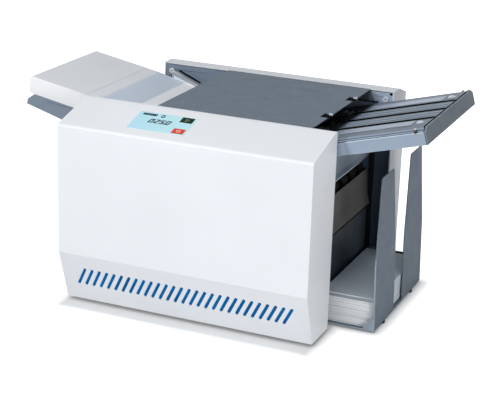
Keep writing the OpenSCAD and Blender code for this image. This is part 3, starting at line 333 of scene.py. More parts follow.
# Pale: painted highlight on the rails' top edges, the dimples and the rear frame's hem, and the bare cut
# edges of the notches
PALE_EDGE_AND_HIGHLIGHT = powder("bare_edge_and_painted_highlight", (0.80, 0.85, 0.91), 0.35, edge=(0.9, 0.93, 0.96))
# Dark grey: dark joints on the fold plate, and painted shade in the crease of the infeed table and in the gap
# on the rear frame
SEAM_AND_SHADE = powder("seam_and_painted_shade", (0.36, 0.41, 0.47), 0.6, edge=(0.42, 0.47, 0.53))

STEEL = brushed("bare_steel", (0.76, 0.77, 0.78))
ALUMINIUM = brushed("aluminium", (0.66, 0.705, 0.765), 0.4, (1, 60, 60))
STRIP = brushed("strip_plate", (0.58, 0.63, 0.70), 0.4, (1, 60, 60))
BRASS = brushed("brass", (0.80, 0.65, 0.36), 0.3)
SCREW = brushed("screw_plate", (0.74, 0.70, 0.69), 0.3)

RUBBER = moulded("black_rubber", (0.07, 0.07, 0.075), 0.75, spec=0.15)
PAD = moulded("brown_rubber", (0.52, 0.31, 0.20), 0.8)
BLACK = moulded("black_plastic", (0.11, 0.115, 0.12), 0.5)
NYLON = moulded("nylon", (0.86, 0.84, 0.77), 0.5)
RED = moulded("red_plastic", (0.74, 0.16, 0.12), 0.3)
BLUE = moulded("vent_blue", (0.0, 0.43, 0.69), 0.6, spec=0.05)
BOARD = moulded("board", (0.16, 0.42, 0.26), 0.4)
# Near black: painted shade under the slotted panel, in its slots, under the notches and in the rear frame's
# slot and hole, and the colour of dark joints
JOINT_AND_SHADE_BLACK = moulded("joint_black_and_painted_shade", (0.03, 0.032, 0.038), 0.8, spec=0.03)

# Black: print on the screen, and painted shade in the bolts' cross recesses
INK_AND_SHADE = moulded("screen_ink_and_painted_shade", (0.03, 0.035, 0.09), 0.6, 200, 0.00001, 0.03)
KEY_GREEN = moulded("screen_green", (0.04, 0.15, 0.085), 0.4, 200, 0.00001, 0.05)
KEY_RED = moulded("screen_red", (0.82, 0.24, 0.19), 0.35, 200, 0.00001, 0.1)
STOP_WHITE = moulded("screen_mark", (0.93, 0.88, 0.82), 0.3, 200, 0.00001)
START_GREEN = moulded("screen_mark_pale", (0.42, 0.55, 0.44), 0.3, 200, 0.00001)
SCREEN = display("screen", (0.715, 0.905, 0.975), (0.76, 0.94, 0.965), 115.0, 200.0)

FAN_START, FAN_END = 2.0, 51.0  # fanned stretch of the loaded stack
PAPER_IN = sheets("paper_loaded", (0, TABLE_SLOPE, 0), (0.895, 0.91, 0.93), (FAN_START, FAN_END))
# Folded paper: its top tinted grey-blue as painted shade
PAPER_OUT = sheets("paper_folded_painted_shade", (0, 0, 0), (0.77, 0.81, 0.85))

# Material of each slot of the record, and of the nodes that have their own
FINISH = {
    "white_paint": WHITE, "grey_paint": GREY, "dark_paint": DARK, "plate_paint": PLATE,
    "frame_paint": FRAME, "chute_paint": CHUTE, "motor_paint": MOTOR, "vent_blue": BLUE,
    "screen": SCREEN, "board": BOARD, "bare_steel": STEEL, "aluminium": ALUMINIUM, "brass": BRASS,
    "black_rubber": RUBBER, "brown_rubber": PAD, "black_plastic": BLACK, "nylon": NYLON,
    "red_plastic": RED, "paper": PAPER_IN,
}
SPECIAL = {
    "rear_cover": REAR_WHITE_SHADED, "top_cover": COVER, "infeed_table": TABLE, "fold_plate_panel": PANEL,
    "catch_tray": TRAY, "folded_stack": PAPER_OUT, "rear_frame": FRAME_SHADE_AND_LIGHT, "front_frame": FRAME_SHADE_AND_LIGHT,
    "exit_guard": GUARD, "press_roller_upper": RUBBER, "fasteners": ZINC_AND_HIGHLIGHT,
}
slot_of = {s["node"]: s["material_slot"] for s in frame["record"]["subparts"]}

# Edge radius of each CAD node that shows
EDGES = {
    "front_cover": 1.6, "rear_cover": 1.6, "top_cover": 0.7, "infeed_table": 0.6, "catch_tray": 0.6,
    "upper_fold_plate": 0.5, "fold_plate_panel": 0.4, "exit_guard": 0.5,
    "exit_chute": 0.5, "exit_wall": 0.5, "front_frame": 0.5, "rear_frame": 0.5, "base_pan": 0.5,
    "front_side_guide": 0.3, "rear_side_guide": 0.3, "fold_stop": 0.4, "stop_knobs": 0.4,
    "cover_hinges": 0.5, "touch_screen": 0.3, "power_inlet": 0.4, "power_switch": 0.4,
    "feed_tyres": 0.6, "end_panel": 0.5, "machine_feet": 0.5, "fasteners": 0.5,
    "press_roller_lower": 0.5, "drive_motor": 1.0,
}


def soften(obj, width, segments=3):
    """Round the sharp edges of an object by modifiers."""
    weld = obj.modifiers.new("weld", "WELD")
    weld.merge_threshold = 1e-6
    bevel = obj.modifiers.new("bevel", "BEVEL")
    bevel.width = width * MM
    bevel.segments = segments
    bevel.limit_method = "ANGLE"
    bevel.angle_limit = math.radians(28)
    bevel.harden_normals = True


for name, obj in nodes.items():
    obj.data.materials.clear()
    obj.data.materials.append(SPECIAL.get(name, FINISH[slot_of[name]]))
    if name in EDGES:
        soften(obj, EDGES[name])


# Visual pieces
class Build:
    """Mesh of one piece, from closed prisms and rings whose points place maps into the row frame."""

    def __init__(self, place=row):
        self.bm = bmesh.new()
        self.place = place

    def loop(self, outline, w):
        return [self.bm.verts.new(self.place(a, b, w)) for a, b in outline]

    def wall(self, low, high):
        for i in range(len(low)):
            j = (i + 1) % len(low)
            self.bm.faces.new((low[i], low[j], high[j], high[i]))

    def prism(self, outline, w0, w1, top=None):
        """Solid over a plane outline (a, b) from height w0 to w1; top is the outline at w1."""
        low, high = self.loop(outline, w0), self.loop(top or outline, w1)
        self.bm.faces.new(low[::-1])
        self.bm.faces.new(high)
        self.wall(low, high)

    def ring(self, outer, inner, w0, w1):
        """Frame-shaped solid between two outlines with as many points each."""
        corners = ((outer, w0), (outer, w1), (inner, w1), (inner, w0))
        loops = [self.loop(outline, w) for outline, w in corners]
        for low, high in zip(loops, loops[1:] + loops[:1]):
            self.wall(low, high)

    def finish(self, name, material, body, slot, edge=0.0, smooth=False):
        """The piece, riding on a body, with edges of a radius."""
        bmesh.ops.recalc_face_normals(self.bm, faces=self.bm.faces)
        mesh = bpy.data.meshes.new(name)
        self.bm.to_mesh(mesh)
        self.bm.free()
        mesh.materials.append(material)
        for face in mesh.polygons:
            face.use_smooth = smooth
        piece = bpy.data.objects.new(name, mesh)
        scene.collection.objects.link(piece)
        if edge:
            soften(piece, edge, 2)
        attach(piece, body)
        return piece


def circle(a, b, r, count=24, stretch=1.0):
    """Circle, or an ellipse that is stretched along b."""
    turns = [2 * math.pi * i / count for i in range(count)]
    return [(a + r * math.cos(t), b + r * stretch * math.sin(t)) for t in turns]


def box_outline(a0, b0, a1, b1):
    return [(a0, b0), (a1, b0), (a1, b1), (a0, b1)]


def arc(a, b, r, start, sweep, steps):
    turns = [math.radians(start + sweep * i / steps) for i in range(steps + 1)]
    return [(a + r * math.cos(t), b + r * math.sin(t)) for t in turns]


def rounded_box(a0, b0, a1, b1, r, steps=4):
    corners = ((a1 - r, b1 - r), (a0 + r, b1 - r), (a0 + r, b0 + r), (a1 - r, b0 + r))
    return [point for quarter, (a, b) in enumerate(corners)
            for point in arc(a, b, r, 90 * quarter, 90, steps)]


def stadium(a0, a1, b, half, steps=8):
    """Slot along a with round ends."""
    return arc(a1 - half, b, half, -90, 180, steps) + arc(a0 + half, b, half, 90, 180, steps)


def turned_bar(a, b, length, width, turn):
    """Bar round a middle point, by half its length, half its width and its turn."""
    c, s = math.cos(turn), math.sin(turn)
    corners = ((length, width), (-length, width), (-length, -width), (length, -width))
    return [(a + p * c - q * s, b + p * s + q * c) for p, q in corners]


# Control panel: s runs up the slope from the front edge, n stands off it
CONTROL_SIN = CONTROL_DROP / math.hypot(CONTROL_DROP, CONTROL_RUN)
CONTROL_COS = CONTROL_RUN / math.hypot(CONTROL_DROP, CONTROL_RUN)


def on_panel(x, s, n):
    return row(x, s * CONTROL_COS - n * CONTROL_SIN,
               BODY_H - CONTROL_DROP + s * CONTROL_SIN + n * CONTROL_COS)


SCREEN_TOP = 0.32  # just above the face of the touch screen
INK_TOP, KEY_TOP = SCREEN_TOP + 0.12, SCREEN_TOP + 0.2
MARK_LOW, MARK_TOP = SCREEN_TOP + 0.22, SCREEN_TOP + 0.32
READOUT, DIGIT_X, DIGIT_S, DIGIT_STEP = (0, 2, 5, 0), 132.0, 44.0, 9.3
DIGIT_W, DIGIT_H, DIGIT_BAR, DIGIT_LEAN = 7.2, 11.5, 2.1, 0.25
LIT_BARS = {0: "abcdef", 2: "abged", 5: "afgcd"}  # of a seven-bar digit
DOTS, DOT_X, DOT_S, DOT_STEP = 7, 116.5, 67.5, 3.4  # row of narrow rings
DOT_OUTER, DOT_INNER = (1.7, 20, 2.0), (0.3, 20, 3.6)  # radius, points and stretch
DIAL, DIAL_OUTER, DIAL_INNER = (149.0, 66.5), (3.4, 28, 1.25), (1.6, 28, 1.3)  # ring beside that row
KEY_START, KEY_STOP, KEY_R = (180.0, 57.5, 200.6, 73.0), (181.5, 23.5, 201.0, 38.0), 1.2
STOP_MARK, STOP_OUTER, STOP_INNER = (191.2, 30.7), (3.4, 28), (2.3, 28)  # ring on the stop key
ARROW_OUTER = [(187.5, 61.0), (194.5, 65.2), (187.5, 69.5)]  # arrow head on the start key
ARROW_INNER = [(188.4, 62.6), (192.8, 65.2), (188.4, 67.9)]


def seven_bar(build, x, s, digit):
    """One leaning digit with its lower left corner at x, s."""
    w, h, bar, mid = DIGIT_W, DIGIT_H, DIGIT_BAR, DIGIT_H / 2
    bars = {"a": (0, h - bar, w, h), "g": (bar, mid - bar / 2, w - bar, mid + bar / 2), "d": (0, 0, w, bar),
            "f": (0, mid, bar, h - bar), "b": (w - bar, mid, w, h - bar),
            "e": (0, bar, bar, mid), "c": (w - bar, bar, w, mid)}
    for letter in LIT_BARS[digit]:
        outline = [(x + a + DIGIT_LEAN * b, s + b) for a, b in box_outline(*bars[letter])]
        build.prism(outline, SCREEN_TOP, INK_TOP)


ink = Build(on_panel)
for place in range(DOTS):
    x = DOT_X + DOT_STEP * place
    ink.ring(circle(x, DOT_S, *DOT_OUTER), circle(x, DOT_S, *DOT_INNER), SCREEN_TOP, INK_TOP)
ink.ring(circle(*DIAL, *DIAL_OUTER), circle(*DIAL, *DIAL_INNER), SCREEN_TOP, INK_TOP)
for place, digit in enumerate(READOUT):
    seven_bar(ink, DIGIT_X + DIGIT_STEP * place, DIGIT_S, digit)
ink.finish("screen_readout", INK_AND_SHADE, "chassis", "screen")

green_key = Build(on_panel)
green_key.prism(rounded_box(*KEY_START, KEY_R), SCREEN_TOP, KEY_TOP)
green_key.finish("screen_key_start", KEY_GREEN, "chassis", "screen")
red_key = Build(on_panel)
red_key.prism(rounded_box(*KEY_STOP, KEY_R), SCREEN_TOP, KEY_TOP)
red_key.finish("screen_key_stop", KEY_RED, "chassis", "screen")
stop_mark = Build(on_panel)
stop_mark.ring(circle(*STOP_MARK, *STOP_OUTER), circle(*STOP_MARK, *STOP_INNER), MARK_LOW, MARK_TOP)
stop_mark.finish("screen_mark_stop", STOP_WHITE, "chassis", "screen")
start_mark = Build(on_panel)
start_mark.ring(ARROW_OUTER, ARROW_INNER, MARK_LOW, MARK_TOP)
start_mark.finish("screen_mark_start", START_GREEN, "chassis", "screen")


# Fold plate: u runs up the slope from the right end of the housing, w stands off it
def on_plate(u, y, w):
    return row(FOLD_X + u * math.cos(FOLD_ANGLE) - w * math.sin(FOLD_ANGLE), y,
               FOLD_Z + u * math.sin(FOLD_ANGLE) + w * math.cos(FOLD_ANGLE))


# Dark mat under the slotted panel, painted shade seen through its slots
MAT_U0, MAT_U1, MAT_Y, MAT_LOW, MAT_TOP = -96.0, 134.6, 112.0, -0.48, -0.32
mat = Build(on_plate)
mat.prism(rounded_box(MAT_U0, MAT_Y, MAT_U1, opposite(MAT_Y), 3.0), MAT_LOW, MAT_TOP)
mat.finish("fold_plate_shade_mat", JOINT_AND_SHADE_BLACK, "chassis", "black_plastic")

# Dark liner and lip of each slot, painted shade in and along the slots, and the dark joint between the panel
# and the end wall, painted shade of a groove there
LINER_LOW, LINER_TOP, LINER_T, LINER_FIT = -0.3, PANEL_TOP + 0.01, 0.8, 0.06
LIP, LIP_TOP = 1.1, PANEL_TOP + 0.13
JOINT_Y, JOINT_FIT, JOINT_TOP = 110.5, 0.05, PANEL_TOP + 1.3
JOINT_LIP, JOINT_LIP_Y = 0.7, 111.5  # where the joint laps over the panel
liners = Build(on_plate)
for y in (BAY_MID - SLOT_PITCH, BAY_MID, BAY_MID + SLOT_PITCH):
    inner, outer, rim = (stadium(SLOT_U0 + inset, SLOT_U1 - inset, y, SLOT_W / 2 - inset)
                         for inset in (LINER_T, LINER_FIT, -LIP))
    liners.ring(outer, inner, LINER_LOW, LINER_TOP)
    liners.ring(rim, inner, LINER_TOP, LIP_TOP)
liners.prism(box_outline(PANEL_END + JOINT_FIT, JOINT_Y, WALL_IN - JOINT_FIT, opposite(JOINT_Y)),
             LINER_LOW, JOINT_TOP)
liners.prism(box_outline(PANEL_END - JOINT_LIP, JOINT_LIP_Y, PANEL_END + 0.04, opposite(JOINT_LIP_Y)),
             PANEL_TOP + 0.02, JOINT_TOP)
liners.finish("fold_plate_slot_liners", JOINT_AND_SHADE_BLACK, "chassis", "black_plastic")

# Screws with a cross recess, on black stems; the cross is black as painted shade in the recess, and its
# second bar lies higher, so that no faces coincide
SCREW_U, SCREW_Y = 121.5, 103.4
STEM_LOW, FLANGE_TOP, STEM_TOP, NECK_TOP, SCREW_TOP = 0.02, 0.9, 5.2, 5.7, 7.6
STEM_R, FLANGE_R, NECK_R, HEAD_R = 2.3, 3.0, 1.8, 2.4
CROSS_LEN, CROSS_W, CROSS_TURN, CROSS_RISE = 1.2, 0.3, 0.3, 0.03
screws = Build(on_plate)
stems = Build(on_plate)
for y in (SCREW_Y, opposite(SCREW_Y)):
    stems.prism(circle(SCREW_U, y, STEM_R), STEM_LOW, STEM_TOP)
    stems.prism(circle(SCREW_U, y, FLANGE_R), STEM_LOW, FLANGE_TOP)
    neck = circle(SCREW_U, y, NECK_R)
    screws.prism(neck, STEM_TOP, NECK_TOP)
    screws.prism(circle(SCREW_U, y, HEAD_R), NECK_TOP, SCREW_TOP, neck)
    for turn in (CROSS_TURN, CROSS_TURN + math.pi / 2):
        level = SCREW_TOP + CROSS_RISE * turn
        stems.prism(turned_bar(SCREW_U, y, CROSS_LEN, CROSS_W, turn), level - 0.02, level + 0.04)
screws.finish("fold_plate_screws", SCREW, "chassis", "bare_steel", 0.2)
stems.finish("fold_plate_screw_stems", BLACK, "chassis", "black_plastic", 0.1)

# Painted highlight along the top edge of each rail, and the hem of two dark joints and a bead along the foot
# of the panel.
# Each row gives where it starts, its inner and outer side from the rail's outer face, its low and its high.
HEM_END = 132.0
edges = Build(on_plate)
beads = Build(on_plate)
joints = Build(on_plate)
HEM = ((edges, 11.0, 0.03, 1.9, 0.01, 0.8), (joints, -18.0, 4.0, 5.4, 0.01, 1.2),
       (beads, -18.0, 4.4, 6.6, 1.21, 2.6), (joints, -18.0, 5.2, 7.6, 2.61, 3.5))
for build, start_u, inner, outer, low, high in HEM:
    near, far = RAIL_Y + inner, RAIL_Y + outer
    build.prism(box_outline(start_u, near, HEM_END, far), low, high)
    build.prism(box_outline(start_u, opposite(far), HEM_END, opposite(near)), low, high)
edges.finish("fold_plate_edge_highlights", PALE_EDGE_AND_HIGHLIGHT, "chassis", "plate_paint", 0.15)
beads.finish("fold_plate_beads", PLATE, "chassis", "plate_paint", 0.15)
joints.finish("fold_plate_joints", SEAM_AND_SHADE, "chassis", "plate_paint", 0.1)

# Oval dimples near the end of the panel, pale as a painted highlight, by radius and height above it
DIMPLE_U, DIMPLE_Y, DIMPLE_OVAL = 115.5, 148.0, 0.75
DIMPLE = ((6.6, 0.01), (5.6, 1.2), (3.8, 2.5), (1.6, 3.0))
dimples = Build(on_plate)
for y in (DIMPLE_Y, opposite(DIMPLE_Y)):
    for (r0, h0), (r1, h1) in zip(DIMPLE, DIMPLE[1:]):
        dimples.prism(circle(DIMPLE_U, y, r0, 28, DIMPLE_OVAL), PANEL_TOP + h0, PANEL_TOP + h1,
                      circle(DIMPLE_U, y, r1, 28, DIMPLE_OVAL))
dimples.finish("fold_plate_dimples", PALE_EDGE_AND_HIGHLIGHT, "chassis", "plate_paint", 0.2, True)

# Pale strips, narrower than the CAD ones by the room that the stop's carriages need to run past them
STRIP_GAP = 0.4
STRIP_IN = STRIP_Y1 - STRIP_GAP
STRIP_R, STRIP_LOW, STRIP_TOP = 1.2, PANEL_TOP + 0.05, PANEL_TOP + 0.85
strips = Build(on_plate)
for y0, y1 in ((STRIP_Y0, STRIP_IN), (opposite(STRIP_IN), opposite(STRIP_Y0))):
    strips.prism(rounded_box(STRIP_U0, y0, STRIP_U1, y1, STRIP_R), STRIP_LOW, STRIP_TOP)
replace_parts(strips.finish("scale_strip_plates", STRIP, "chassis", "aluminium", 0.2), "scale_strips")

# Black rubber edging under the cheeks of the top cover, painted shade of the dark gap between them and the
# fold plate
EDGING_X0, EDGING_X1, EDGING_OUT, EDGING_LOW, EDGING_TOP = 350.0, COVER_X1 + 14.5, 0.3, 300.9, 302.98
edging = Build()
for y0 in (CHEEK_Y, opposite(CHEEK_Y) - CHEEK_T):
    outline = rounded_box(EDGING_X0, y0 - EDGING_OUT, EDGING_X1, y0 + CHEEK_T + EDGING_OUT, 0.5, 2)
    edging.prism(outline, EDGING_LOW, EDGING_TOP)

# Bright cut edges of the notches in the top cover, and black plates below them, painted shade of the dark
# space there
TRIM_LEN, TRIM_T, TRIM_END, TRIM_TOP = 7.0, 0.7, COVER_X1 - 0.05, BODY_H + 0.5
RETURN_LEN, RETURN_T, RETURN_START = 3.0, 0.9, 0.92  # short leg along the cover's right edge
MASK_BORDER, MASK_LOW, MASK_TOP = 2.5, COVER_LOW - 0.8, COVER_LOW - 0.02
trims = Build()
masks = Build()
for y in (BAY_MID - SLOT_PITCH, BAY_MID + SLOT_PITCH):
    near, far = y - NOTCH_HALF, y + NOTCH_HALF
    trims.prism(box_outline(COVER_X1 - TRIM_LEN, far - TRIM_T, TRIM_END, far - 0.03), COVER_LOW, TRIM_TOP)
    trims.prism(box_outline(COVER_X1 - RETURN_T, far - RETURN_LEN, TRIM_END, far - RETURN_START),
                COVER_LOW, TRIM_TOP)
    masks.prism(rounded_box(COVER_X1 - NOTCH_LEN - MASK_BORDER, near - MASK_BORDER,
                            COVER_X1 - 0.3, far + MASK_BORDER, 1.0), MASK_LOW, MASK_TOP)
edging.finish("cover_cheek_shade_edging", RUBBER, "cover", "black_rubber", 0.2)
trims.finish("cover_notch_trims", PALE_EDGE_AND_HIGHLIGHT, "cover", "plate_paint", 0.12)
masks.finish("cover_notch_masks", JOINT_AND_SHADE_BLACK, "cover", "black_plastic")

# Cross recesses in the heads of the cover bolts, black as painted shade
RECESS_LEN, RECESS_W, RECESS_T = 1.6, 0.35, 0.1
recess = Build(upright)
for x in BOLT_X:
    for z in BOLT_Z:
        for y in (BOLT_Y + 0.02, opposite(BOLT_Y) - 0.14):
            for a, b, y0 in ((RECESS_LEN, RECESS_W, y), (RECESS_W, RECESS_LEN, y + 0.01)):
                recess.prism(box_outline(x - a, z - b, x + a, z + b), y0, y0 + RECESS_T)
recess.finish("cover_bolt_recesses", INK_AND_SHADE, "chassis", "black_plastic")

# White inlay behind the rear guide's window, and a black strip on the rear frame, painted shade of the slot
# that its bracket runs in
FACE_GAP = 0.02  # between a thin piece and the face that carries it
INLAY, INLAY_T, GUIDE_FACE = [(31.0, 296.2), (128.0, 262.5), (128.0, 273.5), (31.0, 306.6)], 0.26, 342.0
BRACKET_SLOT, SLOT_T = [(26.7, 308.0), (68.0, 290.4), (69.2, 293.2), (27.9, 310.8)], 0.14
inlay = Build(upright)
inlay.prism(INLAY, GUIDE_FACE + FACE_GAP, GUIDE_FACE + INLAY_T)
inlay.finish("rear_guide_inlay", WHITE, "rear_guide", "white_paint")
run = Build(upright)
run.prism(BRACKET_SLOT, REAR_FRAME_Y - SLOT_T, REAR_FRAME_Y - FACE_GAP)
run.finish("rear_frame_slot", JOINT_AND_SHADE_BLACK, "chassis", "black_plastic")

# Dark joint between the chute and the lower wall
EXIT_Y, WALL_JOINT_T, WALL_JOINT_LOW, WALL_JOINT_TOP = 98.0, 0.5, -6.4, -0.2  # heights from the chute's foot
chute_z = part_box("exit_chute")[0][2] / MM
wall_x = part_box("exit_wall")[1][0] / MM + ORIGIN_X
wall_joint = Build()
wall_joint.prism(box_outline(wall_x + FACE_GAP, EXIT_Y, wall_x + WALL_JOINT_T, opposite(EXIT_Y)),
                 chute_z + WALL_JOINT_LOW, chute_z + WALL_JOINT_TOP)
wall_joint.finish("exit_wall_joint", JOINT_AND_SHADE_BLACK, "chassis", "black_plastic")

# Pressed crease along the skirts of the infeed table, a dark line as painted shade in the crease
CREASE = [(-84.7, 297.6), (-30.6, 291.5), (-30.6, 292.3), (-84.7, 298.4)]
CREASE_T = 0.11
skirt_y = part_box("infeed_table")[0][1] / MM + ORIGIN_Y
crease = Build(upright)
for y in (skirt_y - CREASE_T - 0.01, opposite(skirt_y) + 0.01):
    crease.prism(CREASE, y, y + CREASE_T)
crease.finish("infeed_table_creases", SEAM_AND_SHADE, "chassis", "grey_paint")

# Edge of the rear cover round the rear frame, in the lighter white as a painted highlight; hem of the frame,
# pale as a painted highlight, a gap line on the frame, dark as painted shade, and corner hole of the frame,
# black as painted shade. Boxes in x and z
EDGE_BARS, EDGE_T = ((150.0, 320.3, 419.6, 321.7), (417.6, 288.0, 419.6, 320.2)), 0.6
HEM_BAR, HEM_T = (150.0, 317.1, 411.6, 318.2), 0.2
GAP_BAR, GAP_T = (4.0, 318.3, 416.0, 319.4), 0.16
HOLE_BOX, HOLE_R = (412.4, 314.6, 416.6, 318.8), 1.0
BAR_R, BAR_STEPS = 0.3, 2
cover_edge = Build(upright)
for bar in EDGE_BARS:
    cover_edge.prism(rounded_box(*bar, BAR_R, BAR_STEPS), REAR_EDGE_Y - EDGE_T, REAR_EDGE_Y - FACE_GAP)
cover_edge.finish("rear_cover_edge", WHITE, "chassis", "white_paint", 0.1)
hem = Build(upright)
hem.prism(rounded_box(*HEM_BAR, BAR_R, BAR_STEPS), REAR_FRAME_Y - HEM_T, REAR_FRAME_Y - FACE_GAP)
hem.finish("rear_frame_hem", PALE_EDGE_AND_HIGHLIGHT, "chassis", "plate_paint", 0.1)
gap = Build(upright)
gap.prism(rounded_box(*GAP_BAR, BAR_R, BAR_STEPS), REAR_FRAME_Y - GAP_T, REAR_FRAME_Y - FACE_GAP)
gap.finish("rear_frame_gap", SEAM_AND_SHADE, "chassis", "frame_paint", 0.1)
hole = Build(upright)
hole.prism(rounded_box(*HOLE_BOX, HOLE_R), REAR_FRAME_Y - SLOT_T, REAR_FRAME_Y - FACE_GAP)
hole.finish("rear_frame_hole", JOINT_AND_SHADE_BLACK, "chassis", "black_plastic")

# Rolled edge on the exit guard, in bright aluminium as a painted highlight of the guard's lip, and the dark
# seal at the far end of the exit
GUARD_BEAD, GUARD_BEAD_R = (383.6, 209.8), 1.3
SEAL_STEPS = ((385.4, 366.5, 391.5), (391.5, 368.0, 392.8))  # left, front and right of each
SEAL_BACK, SEAL_LOW, SEAL_TOP = REAR_FRAME_Y - 0.1, 12.0, 286.0
guard_bead = Build(upright)
guard_bead.prism(circle(*GUARD_BEAD, GUARD_BEAD_R, 14), BAY_Y0 + 0.2, REAR_EDGE_Y - 0.2)
guard_bead.finish("exit_guard_bead", ALUMINIUM, "chassis", "aluminium", 0.2, True)
seal = Build()
for x0, y0, x1 in SEAL_STEPS:
    seal.prism(box_outline(x0, y0, x1, SEAL_BACK), SEAL_LOW, SEAL_TOP)
seal.finish("exit_edge_seal", RUBBER, "chassis", "black_rubber", 0.6)

# Loaded sheets: layers that fan out towards the feed roller, and two loose sheets on top whose ends curl up
dice = random.Random(7)
SHEET_Y0, SHEET_Y1 = 125.8, 341.2
STACK_H, STACK_X0, STACK_LIFT = 28.2, -120.4, 0.06
FAN = ((-124.0, STACK_H), (FAN_START, STACK_H), (FAN_END, 24.2), (69.0, 22.0), (110.0, 18.2), (140.0, 13.4),
       (162.0, 10.0))  # height of the stack above the table along x
STATIONS = (-80.0, -40.0, 2.0, 18.0, 34.0, 51.0, 69.0, 80.0, 92.0, 115.0, 140.0, 161.0)
LAYERS, LAYER_CLEAR = 34, 0.04  # and the share of a layer that is left clear above and below it
JOG_X, JOG_Y = 0.45, 0.25  # uneven placing of the sheets
OVERHANG, OVERHANG_LAYERS = 4.4, 9  # how far lower sheets reach out, and the top sheets over which that ends
LOOSE = ((FAN_START, 0.18, 0.1), (-20.0, 0.34, 0.25))  # end, height above the stack, and curl
LOOSE_X0, LOOSE_Y0, LOOSE_Y1, LOOSE_T = -120.6, 126.1, 341.3, 0.14


def table_z(x):
    return TABLE_Z - x * math.tan(TABLE_SLOPE)


def along(points, x):
    """Height at x on a line through points."""
    for (x0, h0), (x1, h1) in zip(points, points[1:]):
        if x <= x1:
            return h0 + (h1 - h0) * (x - x0) / (x1 - x0)
    return points[-1][1]


pile = Build(upright)
for layer in range(LAYERS):
    low, high = (layer + LAYER_CLEAR) / LAYERS, (layer + 1 - LAYER_CLEAR) / LAYERS
    shift = dice.uniform(-JOG_X, JOG_X) - OVERHANG * min(1.0, (LAYERS - layer) / OVERHANG_LAYERS)
    side = dice.uniform(-JOG_Y, JOG_Y)
    xs = [STACK_X0 + shift, *STATIONS]
    under = [(x, table_z(x) + STACK_LIFT + along(FAN, x) * low) for x in xs]
    over = [(x, table_z(x) + STACK_LIFT + along(FAN, x) * high) for x in reversed(xs)]
    pile.prism(under + over, SHEET_Y0 + side, SHEET_Y1 + side)
for end, lift, curl in LOOSE:
    curve = [(LOOSE_X0, 0.0), (-70.0, 0.0), (end - 16.0, 0.0), (end - 6.0, curl / 3), (end, curl)]
    under = [(x, table_z(x) + STACK_H + lift + h - LOOSE_T) for x, h in curve]
    over = [(x, table_z(x) + STACK_H + lift + h) for x, h in reversed(curve)]
    pile.prism(under + over, LOOSE_Y0, LOOSE_Y1)
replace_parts(pile.finish("loaded_sheets", PAPER_IN, "chassis", "paper"), "paper_stack")

# Folded sheets in the tray, each with a round fold at its right end; the top one has slid back
FOLDED_X0, FOLDED_X1, FOLDED_Y0, FOLDED_Y1 = 392.5, 482.0, 132.75, 345.75
FOLDED_LOW, FOLDED_TOP = 5.05, 48.0
FOLDS, FOLD_FILL, TOP_SLIDE = 27, 0.985, 12.5
LEFT_JOG, RIGHT_JOG, SIDE_JOG = 1.6, 1.2, 0.9  # uneven placing of the folds
NOSE_TURNS = (-1.57, -0.94, -0.31, 0.31, 0.94, 1.57)  # half a turn round the fold, in radians
pitch = (FOLDED_TOP - FOLDED_LOW) / FOLDS
heap = Build(upright)
for fold in range(FOLDS):
    z0 = FOLDED_LOW + pitch * fold
    z1 = FOLDED_LOW + pitch * (fold + FOLD_FILL)
    x0 = FOLDED_X0 + dice.uniform(0.0, LEFT_JOG)
    x1 = FOLDED_X1 - dice.uniform(0.0, RIGHT_JOG)
    side = dice.uniform(-SIDE_JOG, SIDE_JOG) + (TOP_SLIDE if fold == FOLDS - 1 else 0.0)
    r = (z1 - z0) / 2
    nose = [(x1 - r + r * math.cos(t), z0 + r + r * math.sin(t)) for t in NOSE_TURNS]
    heap.prism([(x0, z0)] + nose + [(x0, z1)], FOLDED_Y0 + side, FOLDED_Y1 + side)
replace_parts(heap.finish("folded_sheets", PAPER_OUT, "tray", "paper"), "folded_stack")


# Floor and lamps, in metres
def seen_rays(tree):
    """1 for camera, glossy and transmission rays, else 0."""
    path = tree.nodes.new("ShaderNodeLightPath")
    total = path.outputs["Is Camera Ray"]
    for key in ("Is Glossy Ray", "Is Transmission Ray"):
        either = tree.nodes.new("ShaderNodeMath")
        either.operation = "MAXIMUM"
        tree.links.new(total, either.inputs[0])
        tree.links.new(path.outputs[key], either.inputs[1])
        total = either.outputs[0]
    return total


def distance(finish, centre, half):
    """Distance from a rectangle on the floor, by its middle and half its sides."""
    offset = finish.vector("ABSOLUTE", finish.vector("SUBTRACT", finish.coords, centre))
    outside = finish.vector("MAXIMUM", finish.vector("SUBTRACT", offset, half), (0.0, 0.0, 0.0))
    return finish.vector("LENGTH", outside)


FLOOR_HALF = 6.0
floor_mesh = bpy.data.meshes.new("floor")
floor_bm = bmesh.new()
bmesh.ops.create_grid(floor_bm, x_segments=1, y_segments=1, size=FLOOR_HALF)
floor_bm.to_mesh(floor_mesh)
floor_bm.free()
floor = bpy.data.objects.new("floor", floor_mesh)
scene.collection.objects.link(floor)

# The lit floor is brought to white where it is seen, less so at the feet of the housing and the tray
NEAR_LIFT, FAR_LIFT, NEAR_D, FAR_D = 0.14, 1.0, 0.0, 0.028
FOOTPRINTS = (((-0.0036, 0.0, 0.0), (0.207, 0.212, 1.0)), ((0.235, 0.026, 0.0), (0.036, 0.117, 1.0)))
floor_finish = Finish("floor", 0.7, spec=0.1)
floor_finish.paint(floor_finish.ramp(floor_finish.noise(3), (0.80, 0.805, 0.81), (0.81, 0.815, 0.82)))
nearest = floor_finish.scalar("MINIMUM", *(distance(floor_finish, *place) for place in FOOTPRINTS))
glow = floor_finish.times(seen_rays(floor_finish.tree),
                          floor_finish.spread(nearest, NEAR_LIFT, FAR_LIFT, NEAR_D, FAR_D))
floor_finish.feed(floor_finish.bsdf.inputs["Emission Color"], (1.0, 1.0, 1.0, 1.0))
floor_finish.feed(floor_finish.bsdf.inputs["Emission Strength"], glow)
floor_mesh.materials.append(floor_finish.mat)

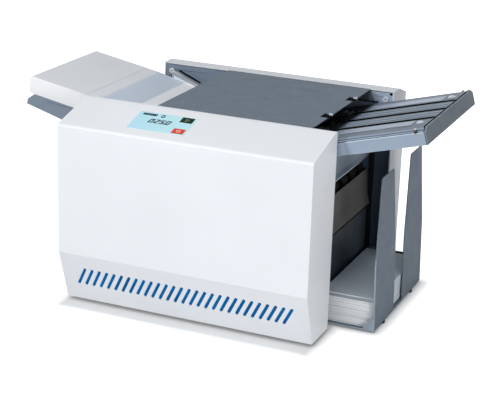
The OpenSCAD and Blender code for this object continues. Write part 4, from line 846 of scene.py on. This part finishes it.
# The world gives faint light, and is white where it is seen
AMBIENT, AMBIENT_COLOUR = 0.25, (0.97, 0.985, 1.0, 1.0)
world = bpy.data.worlds.new("studio")
scene.world = world
world.use_nodes = True
tree = world.node_tree
ambient = tree.nodes["Background"]
ambient.inputs["Color"].default_value = AMBIENT_COLOUR
ambient.inputs["Strength"].default_value = AMBIENT
backdrop = tree.nodes.new("ShaderNodeBackground")
backdrop.inputs["Color"].default_value = (1.0, 1.0, 1.0, 1.0)
choose = tree.nodes.new("ShaderNodeMixShader")
tree.links.new(seen_rays(tree), choose.inputs[0])
tree.links.new(ambient.outputs[0], choose.inputs[1])
tree.links.new(backdrop.outputs[0], choose.inputs[2])
tree.links.new(choose.outputs[0], tree.nodes["World Output"].inputs["Surface"])

LAMP_TARGET = Vector((0, 0, 0.2))
LAMPS = (  # name, place, side of the square, watts
    ("key", (-1.0, -2.42, 1.44), 0.35, 25),
    ("top", (0.2, -1.2, 2.4), 1.4, 24),
    ("side", (2.2, -1.7, 0.36), 1.0, 25),
    ("back", (0.15, 2.8, 0.36), 1.0, 34),
    ("left", (-2.5, 0.7, 0.36), 1.0, 15),
)
for name, place, size, power in LAMPS:
    data = bpy.data.lights.new(name, "AREA")
    data.size = size
    data.energy = power
    lamp = bpy.data.objects.new(name, data)
    lamp.location = place
    lamp.rotation_euler = (LAMP_TARGET - Vector(place)).to_track_quat("-Z", "Y").to_euler()
    scene.collection.objects.link(lamp)

# Camera fitted to the straight edges of the housing: its place in the machine, and its three axes
EYE = (1089.7, -1843.3, 902.0)
EYE_RIGHT, EYE_UP = (0.91893, 0.39307, 0.03270), (-0.15445, 0.28230, 0.94680)
EYE_BACK = (0.36293, -0.87510, 0.32012)
camera = bpy.data.cameras.new("camera")
camera.lens = 103.29
camera.sensor_width = 36.0
camera.clip_start = 0.05
camera.clip_end = 50.0
eye = bpy.data.objects.new("camera", camera)
axes = Matrix((EYE_RIGHT, EYE_UP, EYE_BACK)).transposed()
eye.matrix_world = Matrix.Translation(row(*EYE)) @ axes.to_4x4()
scene.collection.objects.link(eye)
scene.camera = eye
scene.view_settings.view_transform = "Standard"
